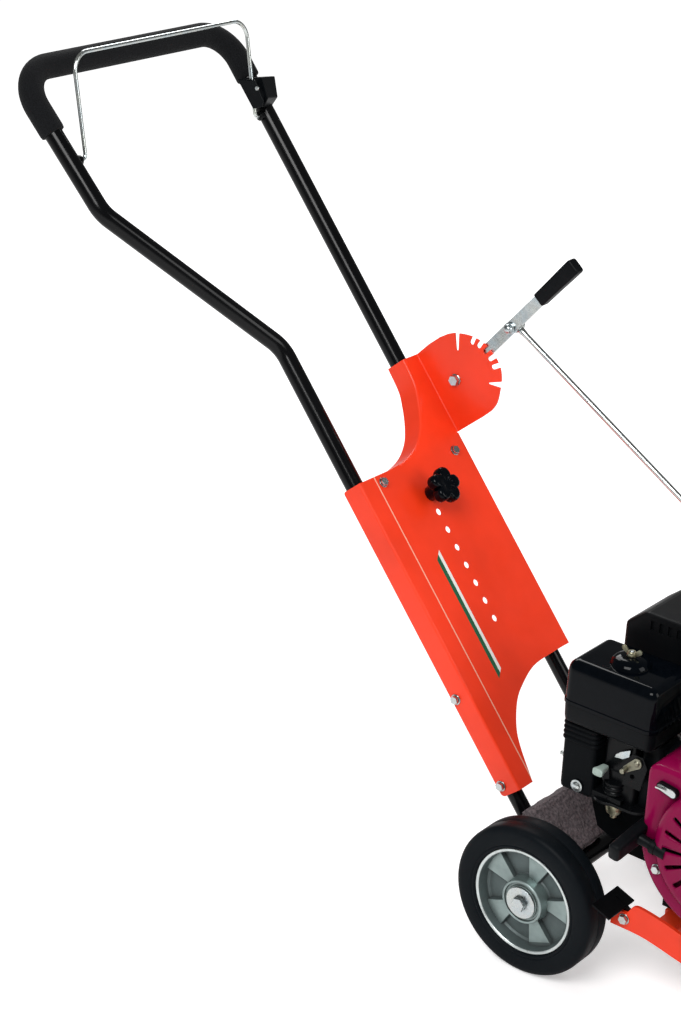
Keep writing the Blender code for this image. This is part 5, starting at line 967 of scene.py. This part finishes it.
# Depth lever: flat bar, moulded grip, pivot bolt, domed stud nut and the rod with its eyes.
# The lever's pivot and the rod's front eye are where the CAD has them.
LEVER_LENGTH = 0.256
LEVER_STUD = 0.127
ROD_MIDDLE = 0.1335
ROD_RADIUS = 0.004
LEVER = LEAN + math.radians(LEVER_TURN)
PIVOT_AT = Vector((-0.389907, 0.1197, 0.635788))
ALONG = Vector((math.cos(LEVER), 0, math.sin(LEVER)))
ACROSS = Vector((-math.sin(LEVER), 0, math.cos(LEVER)))


def lever_point(distance, side=0.0):
    """A point of the lever's outline, at a distance from the pivot along the lever."""
    spot = PIVOT_AT + ALONG * distance + ACROSS * side
    return (spot.x, spot.z)


lever_outline = ([lever_point(d, s) for d, s in arc((0, 0), 0.009, 90, 270, 16)]
    + [lever_point(d, s) for d, s in arc((LEVER_LENGTH, 0), 0.008, -90, 90, 16)])
bm = plate(bmesh.new(), lever_outline, 0.1172, 0.1222, "XZ",
    [circle(lever_point(0), 0.0054, 28), circle(lever_point(LEVER_STUD), 0.0043, 24)])
show("lever_bar", bm, "lever", bright_zinc, "depth_lever", edge=0.0007)
sections = []
for d, wide, thick in ((0.196, 0.0088, 0.0074), (0.1964, 0.0098, 0.0082), (0.199, 0.01, 0.0084),
        (0.23, 0.0104, 0.0085), (0.26, 0.0111, 0.0085), (0.272, 0.0112, 0.0085), (0.2745, 0.0108, 0.0081),
        (0.2758, 0.0098, 0.0072)):
    centre = PIVOT_AT + ALONG * d
    sections.append([centre + ACROSS * a + Vector((0, b, 0)) for a, b in squircle(wide, thick, 7.0)])
bm = loft(bmesh.new(), sections)
show("moulded_lever_grip", bm, "lever", black_plastic, "lever_grip", smooth=50)
bm = hex_bolt(bmesh.new(), (PIVOT_AT.x, 0.1137, PIVOT_AT.z), RIGHT, 0.0062, 0.014, 0.005,
    0.0125, 0.0085, 0.0014)
turned(bm, [(0, 0.0062), (0.008, 0.0062), (0.0085, 0.0068), (0.0085, 0.0095), (0.0078, 0.011), (0, 0.011)],
    (PIVOT_AT.x, SIDE, PIVOT_AT.z), LEFT, 40)
show("lever_pivot", bm, "chassis", bright_zinc, "lever_pivot_bolt")
REAR = PIVOT_AT + ALONG * LEVER_STUD
REAR.y = ROD_MIDDLE
FRONT = Vector((0.487479, ROD_MIDDLE, 0.250926))
bm = turned(bmesh.new(), [(0, -0.0095), (0.0022, -0.0093), (0.0044, -0.0084), (0.006, -0.0068),
    (0.0068, -0.0046), (0.007, -0.0034), (0.0085, -0.0032), (0.0085, -0.0003), (0.004, -0.0003),
    (0.004, 0.0053), (0.006, 0.0053), (0.006, 0.01), (0.004, 0.01), (0.004, 0.0226), (0.0072, 0.0226),
    (0.0075, 0.023), (0.0075, 0.0262), (0.007, 0.0268), (0, 0.0268)], (REAR.x, 0.1172, REAR.z), LEFT, 40)
show("rear_stud", bm, "lever", bright_zinc, "rod_rear_stud")
rod_way = (FRONT - REAR).normalized()
bm = bmesh.new()
for middle, way in ((REAR, 1), (FRONT, -1)):
    turned(bm, [(0.0045, -0.0058), (0.0084, -0.0058), (0.0094, -0.0048), (0.0094, 0.0048), (0.0084, 0.0058),
        (0.0045, 0.0058)], middle, LEFT, 48)
    start = middle + rod_way * way * 0.008
    turned(bm, [(0, 0), (0.005, 0), (0.005, 0.004), (0.004, 0.012), (0, 0.012)], start, rod_way * way, 28)
sweep(bm, [REAR + rod_way * 0.0195, FRONT - rod_way * 0.0195], ROD_RADIUS, 28)
show("drawn_rod", bm, "rod", drawn_zinc, "depth_rod", smooth=40)

# Air cleaner, its wing nut and the ribbed elbow
CLEANER = (-0.005, -0.1535, 0.134, -0.052)
bm = case(bmesh.new(), CLEANER, ((0.0012, 0.3741), (0.0, 0.3746), (0.0, 0.379), (0.0014, 0.38),
    (0.0022, 0.418), (0.003, 0.424), (0.0048, 0.4284), (0.0078, 0.4318), (0.0115, 0.4335),
    (0.016, 0.434)), 0.015)
turned(bm, [(0, 0.0108), (0.01, 0.0108), (0.015, 0.0104), (0.0198, 0.0092), (0.0236, 0.0064), (0.0262, 0.002),
    (0.0268, -0.001), (0, -0.001)], (0.064, -0.104, 0.434), UP, 64)
show("cleaner_case", bm, "chassis", gloss_plastic, "air_cleaner_cover", smooth=50)
bm = case(bmesh.new(), CLEANER, ((0.011, 0.3472), (0.006, 0.3478), (0.0034, 0.35), (0.0026, 0.354),
    (0.002, 0.37), (0.002, 0.3732), (0.003, 0.3737)), 0.014)
show("cleaner_tray", bm, "chassis", black_plastic, "air_cleaner_base", smooth=50)
NUT = Vector((0.064, -0.104, 0.4448))
bm = turned(bmesh.new(), [(0, 0), (0.0029, 0), (0.0029, 0.0068), (0.0022, 0.0076), (0, 0.0076)], NUT, UP, 20)
show("cleaner_stud", bm, "chassis", bright_zinc, "air_cleaner_base", extra=True)
bm = turned(bmesh.new(), [(0.0033, 0.0001), (0.0063, 0.0001), (0.0065, 0.0006), (0.0056, 0.006),
    (0.005, 0.0068), (0.0033, 0.0068)], NUT, UP, 40)
for side in (-1, 1):
    tip = arc((0.0114, 0.0086), 0.0035, -60, 140, 10)
    wing = [(0.0046, 0.001), (0.0085, 0.0024)] + tip + [(0.0046, 0.0062)]
    made = plate(bmesh.new(), [(side * a, b) for a, b in wing], -0.0011, 0.0011)
    bmesh.ops.translate(made, vec=NUT, verts=made.verts)
    merge(bm, made)
show("cleaner_wing_nut", bm, "nut", olive_zinc, "wing_nut", edge=0.0004)
layers = [(0.01, 0.2422), (0.005, 0.2432), (0.0026, 0.246), (0.002, 0.25), (0.002, 0.314)]
for n in range(4):
    z = 0.316 + 0.007 * n
    layers += [(0.0022, z - 0.001), (0.0002, z), (-0.0004, z + 0.001), (-0.0004, z + 0.0024),
        (0.0002, z + 0.0034), (0.0022, z + 0.0044)]
layers += [(0.0022, 0.344), (0.003, 0.3466)]
bm = case(bmesh.new(), (-0.0068, -0.14, 0.047, -0.085), layers, 0.0085)
show("ribbed_elbow", bm, "chassis", hose_rubber, "intake_elbow", smooth=50)

# Carburettor: black body, ringed bowl over a round lip, brass coloured drain bowl, bracket
bm = case(bmesh.new(), (0.048, -0.124, 0.0995, -0.07),
    ((0.003, 0.245), (0.0, 0.2462), (0.0, 0.288), (0.002, 0.29), (0.002, 0.333), (0.004, 0.3345),
    (0.004, 0.34), (0.002, 0.341), (0.002, 0.3468)), 0.006)
bowl_rings = [(0, 0.276)]
for n in range(4):
    z = 0.2745 - 0.0066 * n
    bowl_rings += [(0.0135, z), (0.015, z - 0.0008), (0.015, z - 0.003), (0.0135, z - 0.0038),
        (0.0128, z - 0.005)]
bowl_rings += [(0.0128, 0.247), (0, 0.247)]
turned(bm, bowl_rings, (0.069, -0.12, 0), UP, 48)
lip_line = (arc((0.062, -0.118), 0.022, 180, 300, 12) + arc((0.101, -0.118), 0.018, 270, 360, 8)
    + [(0.119, -0.08), (0.04, -0.08)])
plate(bm, lip_line, 0.245, 0.2488, "XY")
splash_line = [(0.01, 0.244), (0.105, 0.244), (0.105, 0.17), (0.0474, 0.1586), (0.0234, 0.1685),
    (0.01, 0.2067)]
plate(bm, splash_line, -0.078, -0.0755)
plate(bm, [(0.0423, 0.2444), (0.0581, 0.2405), (0.0672, 0.2414), (0.0873, 0.25), (0.0873, 0.256),
    (0.0423, 0.256)], -0.1345, -0.115)
show("carburettor_body", bm, "chassis", carb_black, "carburettor", smooth=45, edge=0.0005)
bm = turned(bmesh.new(), [(0, 0.243), (0.012, 0.243), (0.0124, 0.238), (0.0118, 0.229), (0.01, 0.223),
    (0.0066, 0.2196), (0.0046, 0.219), (0.0044, 0.215), (0, 0.2148)], (0.066, -0.112, 0), UP, 48)
show("carburettor_bowl", bm, "chassis", olive_zinc, "carburettor", extra=True, smooth=45)
bracket_line = ([(0.085, 0.28), (0.112, 0.28)] + arc((0.116, 0.314), 0.003, -10, 30, 3)
    + arc((0.11, 0.325), 0.003, 30, 90, 4) + arc((0.098, 0.325), 0.003, 90, 180, 4))
bm = plate(bmesh.new(), bracket_line, -0.132, -0.1302, holes=[circle((0.099, 0.296), 0.0035, 20)])
plate(bm, [(0.0855, -0.1303), (0.1, -0.1303), (0.1, -0.12), (0.0855, -0.12)], 0.2786, 0.2804, "XY")
show("throttle_bracket", bm, "chassis", carb_black, "carburettor", extra=True, edge=0.0004)
bm = plate(bmesh.new(), [(0.0688, 0.3145), (0.0755, 0.3205), (0.0895, 0.328), (0.0885, 0.3175),
    (0.08, 0.3115), (0.067, 0.3095)], -0.1262, -0.1238)
show("throttle_stop", bm, "chassis", bright_zinc, "carburettor", extra=True, edge=0.0004)
choke_line = arc((0.058, 0.276), 0.006, 180, 360, 10) + arc((0.0565, 0.2915), 0.005, 0, 180, 10)
bm = plate(bmesh.new(), choke_line, -0.1278, -0.1253)
show("choke_plate", bm, "choke", carb_black, "choke_lever", smooth=45, edge=0.0003)
sections = []
for y, wide, tall in ((-0.1279, 0.0048, 0.0038), (-0.13, 0.0052, 0.004), (-0.14, 0.0062, 0.0048),
        (-0.145, 0.0076, 0.0056), (-0.1468, 0.0074, 0.0053), (-0.1473, 0.0064, 0.0044)):
    sections.append([(0.0565 + a, y, 0.2915 + b) for a, b in squircle(wide, tall, 3.6, 32)])
bm = loft(bmesh.new(), sections)
show("choke_paddle", bm, "choke", grey_plastic, "choke_lever", extra=True, smooth=45)
bm = case(bmesh.new(), (0.1003, -0.118, 0.13, -0.072),
    ((0.006, 0.244), (0.002, 0.2452), (0.0, 0.248), (0.0, 0.34), (0.003, 0.344)), 0.007)
pipe = rounded([(0.129, -0.1, 0.32), (0.137, -0.09, 0.328), (0.137, -0.0403, 0.332)], 0.012, 6)
sweep(bm, pipe, 0.012, 28)
show("manifold_moulding", bm, "chassis", black_plastic, "intake_manifold", smooth=45)
bm = turned(bmesh.new(), [(0, 0), (0.0085, 0), (0.0085, 0.0012), (0.006, 0.0016), (0.0056, 0.0038),
    (0.0038, 0.005), (0, 0.0053)], (0.024, -0.1402, 0.256), RIGHT, 36)
show("elbow_screw", bm, "chassis", bright_zinc, "intake_elbow", extra=True, smooth=40)
bm = turned(bmesh.new(), [(0, 0), (0.0042, 0), (0.0042, 0.003), (0.0026, 0.0034), (0.0026, 0.008),
    (0, 0.0084)], (-0.004, -0.127, 0.286), (-1, 0, 0), 28)
show("elbow_stud", bm, "chassis", bright_zinc, "intake_elbow", extra=True, smooth=40)
throttle_line = arc((0.105, 0.318), 0.007, -60, 120, 12) + arc((0.09, 0.305), 0.0045, 130, 310, 10)
bm = plate(bmesh.new(), throttle_line, -0.1348, -0.1323)
turned(bm, [(0, -0.1443), (0.003, -0.1443), (0.0035, -0.1438), (0.0035, -0.133), (0, -0.133)],
    (0.09, 0, 0.305), LEFT, 24)
turned(bm, [(0, -0.1368), (0.0028, -0.1365), (0.0042, -0.1352), (0.0044, -0.134), (0, -0.134)],
    (0.105, 0, 0.318), LEFT, 24)
show("throttle_plate", bm, "throttle", carb_alloy, "throttle_lever", edge=0.0004)

# Fan cover pressed from sheet, recoil housing with radial slots, rope guide and T grip
CRANK = Vector((0.272, 0, 0.281))
FAN_FACE = -0.2035
fan_line = (arc((CRANK.x, CRANK.z), 0.115, -165, 0, 48) + [(0.387, 0.3), (0.387, 0.32), (0.387, 0.342)]
    + arc((0.362, 0.347), 0.025, 10, 90, 8) + [(0.33, 0.372), (0.29, 0.372), (0.25, 0.372), (0.21, 0.372)]
    + [(0.18, 0.372)] + arc((0.174, 0.358), 0.014, 90, 180, 8) + [(0.16, 0.33), (0.16, 0.3), (0.16, 0.275)])


def drawn_in(line, by):
    """Draws an outline in towards the crankshaft."""
    out = []
    for x, z in line:
        away = Vector((x - CRANK.x, z - CRANK.z))
        spot = Vector((CRANK.x, CRANK.z)) + away * (1 - by / away.length)
        out.append((spot.x, spot.y))
    return out


bm = bmesh.new()
LIP = 0.007
front_loop = drawn_in(fan_line, LIP)
fill(bm, [front_loop, circle((CRANK.x, CRANK.z), 0.074, 64)], lambda a, b: (a, FAN_FACE, b))
sections = []
for deep, out in quarter(LIP):
    sections.append([(x, FAN_FACE + deep, z) for x, z in drawn_in(fan_line, LIP - out)])
sections.append([(x, -0.1205, z) for x, z in fan_line])
loft(bm, sections, caps=False)
bmesh.ops.remove_doubles(bm, verts=bm.verts, dist=2e-6)
fan_shell = show("pressed_fan_cover", bm, "chassis", fan_red, "fan_cover", sheet=0.0028, smooth=40)
near_faces = [f for f in fan_shell.data.polygons if f.center.y < FAN_FACE + OFF.y + 0.0003]
if sum(f.normal.y for f in near_faces) > 0:
    fan_shell.data.flip_normals()
bm = turned(bmesh.new(), [(0, -0.221), (0.028, -0.221), (0.0315, -0.2204), (0.0335, -0.2192), (0.074, -0.219),
    (0.08, -0.2183), (0.0842, -0.216), (0.0864, -0.212), (0.088, -0.2038), (0.0845, -0.2038),
    (0.0822, -0.212), (0.078, -0.215), (0.0735, -0.216), (0, -0.216)], (CRANK.x, 0, CRANK.z), LEFT, 96)
recoil = show("recoil_shell", bm, "chassis", fan_red, "recoil_housing", smooth=40)
knives = bmesh.new()
for n in range(18):
    slot_at = math.radians(20 * n + 6)
    slot_line = arc((0.07, 0), 0.0032, -90, 90, 6) + arc((0.042, 0), 0.0024, 90, 270, 6)
    made = plate(bmesh.new(), slot_line, -0.23, -0.21)
    bmesh.ops.rotate(made, matrix=Matrix.Rotation(-slot_at, 3, "Y"), verts=made.verts)
    bmesh.ops.translate(made, vec=CRANK, verts=made.verts)
    merge(knives, made)
carve(recoil, knives)
GUIDE = Vector((0.19, -0.213, 0.2672))
GRIP = Vector((0.148, -0.213, 0.2735))
pull = (GRIP - GUIDE).normalized()
bm = turned(bmesh.new(), [(0.003, -0.014), (0.0088, -0.014), (0.0088, 0.0), (0.01, 0.0006), (0.01, 0.0068),
    (0.009, 0.0078), (0.004, 0.008), (0.003, 0.007)], GUIDE, pull, 32)
show("rope_guide", bm, "chassis", black_plastic, "recoil_housing", extra=True, smooth=40)
bar_way = Vector((0.13, 0.95, 0.235)).normalized()
BAR = GRIP - pull * 0.0105
bar_up = pull.cross(bar_way)
sections = []
for t, wide, tall in ((-0.0428, 0.005, 0.0088), (-0.042, 0.0068, 0.0112), (-0.04, 0.0078, 0.0126),
        (-0.034, 0.0082, 0.0132), (-0.018, 0.0082, 0.0132), (0.0, 0.0085, 0.0134), (0.018, 0.0082, 0.0132),
        (0.034, 0.0082, 0.0132), (0.04, 0.0078, 0.0126), (0.042, 0.0068, 0.0112), (0.0428, 0.005, 0.0088)):
    sections.append([BAR + bar_way * t + pull * a + bar_up * b for a, b in squircle(wide, tall, 4.5)])
bm = loft(bmesh.new(), sections)
turned(bm, [(0, 0.0083), (0.0066, 0.0083), (0.0068, 0.014), (0.0074, 0.023), (0.009, 0.029), (0.009, 0.035),
    (0, 0.035)], GUIDE, pull, 32)
show("starter_handle", bm, "starter_grip", black_plastic, "recoil_grip", smooth=50)

# Ballast block: a rough casting, worn in everywhere from its full size
LUMPS = 62.0
GRAINS = 190.0
low, high = Vector((-0.0128, -0.125, 0.013)), Vector((0.0268, -0.017, 0.096))
bm = bmesh.new()
block(bm, low, high)
bmesh.ops.subdivide_edges(bm, edges=bm.edges, cuts=22, use_grid_fill=True)
middle = (low + high) / 2
half = (high - low) / 2
for vert in bm.verts:
    from_middle = vert.co - middle
    near_edge = sorted(1 - abs(c) / h for c, h in zip(from_middle, half))
    rounding = 0.0022 * max(0.0, 1 - near_edge[1] / 0.12) ** 2 * (1 if near_edge[0] < 0.01 else 0)
    wave = min(1.0, max(0.0, 0.5 + 0.9 * math_noise.noise(vert.co * LUMPS)))
    rough = 0.5 + 0.5 * math_noise.noise(vert.co * GRAINS + Vector((3, 1, 7)))
    shrink = rounding + 0.0034 * wave * wave + 0.001 * rough
    vert.co -= Vector([math.copysign(min(shrink, abs(c)), c) if abs(abs(c) - h) < 0.0001 + rounding
        else math.copysign(min(rounding, abs(c)), c) for c, h in zip(from_middle, half)])
show("ballast_casting", bm, "chassis", ballast, "ballast_block", SLOPE, smooth=180)

# Housing at the bail's far leg, with a slot that the leg swings in
wall = [(-0.7722, 1.0021), (-0.7382, 1.0068), (-0.7221, 0.981), (-0.7236, 0.9707), (-0.7404, 0.9646)]
near_end = [(-0.7771, 1.0008), (-0.7356, 1.0097), (-0.7232, 0.9818), (-0.7302, 0.9675), (-0.7452, 0.9632)]
far_end = [(-0.7853, 0.9953), (-0.7418, 1.0047), (-0.7349, 0.9754), (-0.7456, 0.9603), (-0.7608, 0.9574)]
bm = plate(bmesh.new(), wall, 0.0655, 0.0685)
plate(bm, [(-0.739, 0.97), (-0.73, 0.973), (-0.73, 0.986), (-0.739, 1.0)], 0.068, 0.0785)
loft(bm, [[(x, 0.078, z) for x, z in near_end], [(x, 0.1135, z) for x, z in far_end]])
bmesh.ops.recalc_face_normals(bm, faces=bm.faces)
show("bail_leg_housing", bm, "handle", black_plastic, "bail_housing", edge=0.0015)
bm = turned(bmesh.new(), [(0, 0), (0.0032, 0), (0.0034, 0.0006), (0.0028, 0.0018), (0, 0.0021)],
    (-0.733, 0.0656, 0.996), RIGHT, 24)
show("housing_screw", bm, "handle", bright_zinc, "bail_housing", extra=True, smooth=40)

# Axle tube and gauge wheels
bm = turned(bmesh.new(), [(0.0084, -0.1595), (0.0122, -0.1595), (0.0127, -0.159), (0.0127, 0.159),
    (0.0122, 0.1595), (0.0084, 0.1595)], (0, 0, AXLE), LEFT, 48)
show("axle_sleeve", bm, "chassis", black_gloss, "axle_tube")
GAUGE_RADIUS = 0.079
GAUGE_AT = (0.54, GAUGE_RADIUS - OFF.z)
for name, body, y in (("right_gauge_wheel", "right_front_wheel", -0.208),
        ("left_gauge_wheel", "left_front_wheel", 0.168)):
    side_line = [(0.0054, 0.018), (0.015, 0.018), (0.0156, 0.0172), (0.0166, 0.0063), (0.0545, 0.0054),
        (0.0562, 0.0062), (0.0598, 0.017), (0.0606, 0.0178), (0.073, 0.018), (0.0758, 0.016), (0.078, 0.0128),
        (GAUGE_RADIUS, 0.0095)]
    bm = turned(bmesh.new(), mirrored(side_line), (GAUGE_AT[0], y, GAUGE_AT[1]), LEFT, 96)
    show(name + "_moulding", bm, body, tyre_rubber, name, smooth=40)

# Switch lever with a bright face, bolts of the recoil housing and the handlebar guide
body_line, face_line = (arc((0.201, 0.3465), wide, -90, 80, 10) + arc((0.183, 0.35), narrow, 80, 270, 12)
    for wide, narrow in ((0.0065, 0.0055), (0.0048, 0.0036)))
bm = plate(bmesh.new(), body_line, -0.2098, -0.2038)
show("switch_body", bm, "switch", black_plastic, "engine_switch", smooth=40, edge=0.0006)
bm = plate(bmesh.new(), face_line, -0.2112, -0.2097)
block(bm, (0.179, -0.215, 0.3488), (0.193, -0.2111, 0.351))
show("switch_face", bm, "switch", bright_zinc, "engine_switch", extra=True, smooth=40, edge=0.0004)
bm = bmesh.new()
for turn_at in (30, 120, 210, 300):
    aside = heading(turn_at) * 0.0975
    hex_bolt(bm, (CRANK.x + aside.x, -0.2038, CRANK.z + aside.y), RIGHT, 0.004, 0.01, 0.0028, 0.004, 0.0068)
show("recoil_bolts", bm, "chassis", bright_zinc, "recoil_housing", extra=True)
guide_line = (arc((TUBE, -SPACING), 0.016, 180, 270, 8) + [(-0.0022, -0.11), (-0.0022, 0.11)]
    + arc((TUBE, SPACING), 0.016, 90, 180, 8))
guide_line = [(max(a, -0.04), min(max(b, -0.11), 0.11)) for a, b in guide_line]
bm = plate(bmesh.new(), guide_line, 0.5595, 0.5625, "XY",
    [circle((TUBE, y), 0.0131, 36) for y in (-SPACING, SPACING)])
plate(bm, [(-0.109, 0.56), (0.109, 0.56), (0.109, 0.5815), (-0.109, 0.5815)], -0.004, -0.0011, "YZ",
    [circle((y, GUIDE_BOLT_UP), 0.0034, 20) for y in GUIDE_BOLTS])
show("guide_plate", bm, "chassis", black_satin, "handlebar_guide", SLOPE, edge=0.0004)

# The chassis' rear cross tube and its short middle rail are black
rails = bpy.data.objects["chassis_frame"].data
rails.materials.append(black_satin)
for face in rails.polygons:
    spot = face.center - OFF
    if spot.x < 0.19 and -0.0844 < spot.y < 0.0844:
        face.material_index = 1

# CAD pieces that keep their shape and get small rounded edges
EDGES = (
    (0.001, "chassis_frame fuel_tank"),
    (0.0008, "side_arm handlebar_carriage engine_block cylinder_head muffler"),
    (0.0006, "engine_bed front_lift fuel_cap"),
    (0.0004, "wheel_scraper cutter_rotor cutter_shaft"),
    (0.0003, "belt_guard cutter_hood drive_pulley driven_pulley"),
)
for width, names in EDGES:
    for name in names.split():
        soften(name, width)

# Floor, light and camera
FLOOR_REACH = 30
FLOOR_Z = -0.0004
floor_mesh = bpy.data.meshes.new("floor")
floor_corners = [(x * FLOOR_REACH, y * FLOOR_REACH, FLOOR_Z) for x, y in ((-1, -1), (1, -1), (1, 1), (-1, 1))]
floor_mesh.from_pydata(floor_corners, [], [(0, 1, 2, 3)])
floor = bpy.data.objects.new("floor", floor_mesh)
bpy.context.scene.collection.objects.link(floor)


def glowing_white():
    """A white floor that glows more with distance, for the camera alone."""
    made, tree, shader = new_material("floor_white")
    shade = ramp(tree, noise(tree, 0.6, 2.0), ((0.3, (0.9, 0.9, 0.9)), (0.7, (0.93, 0.93, 0.93))))
    feed(tree, shader, {"Base Color": shade, "Roughness": 0.9, "Specular IOR Level": 0.0,
        "Emission Color": (1, 1, 1, 1)})
    path = node(tree, "ShaderNodeLightPath")
    place = node(tree, "ShaderNodeTexCoord")
    reach = node(tree, "ShaderNodeVectorMath", operation="LENGTH")
    tree.links.new(place.outputs["Object"], reach.inputs[0])
    glow = spread(tree, reach.outputs["Value"], 0.38, 0.66, 1.2, 3.2)
    level = maths(tree, "MULTIPLY", path.outputs["Is Camera Ray"], glow)
    tree.links.new(level, shader.inputs["Emission Strength"])
    return made


floor_mesh.materials.append(glowing_white())


def studio():
    """A white world, at full strength for the camera, softer for the rest and softest in reflections."""
    made = bpy.data.worlds.new("studio")
    made.use_nodes = True
    tree = made.node_tree
    background = tree.nodes["Background"]
    path = node(tree, "ShaderNodeLightPath")
    seen = maths(tree, "MAXIMUM", path.outputs["Is Camera Ray"], path.outputs["Is Transmission Ray"])
    soft = spread(tree, path.outputs["Is Glossy Ray"], 0.4, 0.14, 0.0, 1.0)
    level = node(tree, "ShaderNodeMapRange")
    level.inputs["To Max"].default_value = 1.0
    tree.links.new(soft, level.inputs["To Min"])
    tree.links.new(seen, level.inputs["Value"])
    background.inputs["Color"].default_value = (1, 1, 1, 1)
    tree.links.new(level.outputs["Result"], background.inputs["Strength"])
    return made


bpy.context.scene.world = studio()


def area(name, place, target, size, power):
    """A rectangular lamp at place that faces target."""
    lamp = bpy.data.lights.new(name, "AREA")
    lamp.shape = "RECTANGLE"
    lamp.size, lamp.size_y = size
    lamp.energy = power
    made = bpy.data.objects.new(name, lamp)
    bpy.context.scene.collection.objects.link(made)
    made.location = place
    made.rotation_euler = (Vector(target) - Vector(place)).to_track_quat("-Z", "Y").to_euler()


area("key_light", (0.6, -2.8, 3.2), (0, 0, 0.4), (2.2, 1.6), 108)
area("fill_light", (3.4, 0.6, 2.0), (0, 0, 0.5), (1.8, 2.2), 44)
area("rim_light", (-2.2, 1.8, 2.6), (0, 0, 0.6), (1.6, 1.6), 46)

# The photo's camera: place and directions as fitted, focal length in the photo's pixels
PHOTO_WIDTH = 681
FOCAL_PIXELS = 2286
SENSOR = 36.0
CAMERA_AT = (1.4285, -2.3012, 1.7615)
CAMERA_RIGHT = (0.772, 0.634, 0.043)
CAMERA_BACK = (0.571, -0.721, 0.393)
CAMERA_SHIFT = (0.0022, -0.0411)
view = bpy.data.cameras.new("camera")
view.sensor_fit = "HORIZONTAL"
view.sensor_width = SENSOR
view.lens = FOCAL_PIXELS * SENSOR / PHOTO_WIDTH
view.shift_x, view.shift_y = CAMERA_SHIFT
camera = bpy.data.objects.new("camera", view)
bpy.context.scene.collection.objects.link(camera)
back = Vector(CAMERA_BACK).normalized()
upward = back.cross(Vector(CAMERA_RIGHT).normalized()).normalized()
turn = Matrix((upward.cross(back), upward, back)).transposed().to_4x4()
camera.matrix_world = Matrix.Translation(CAMERA_AT) @ turn
bpy.context.scene.camera = camera
bpy.context.scene.view_settings.view_transform = "Standard"
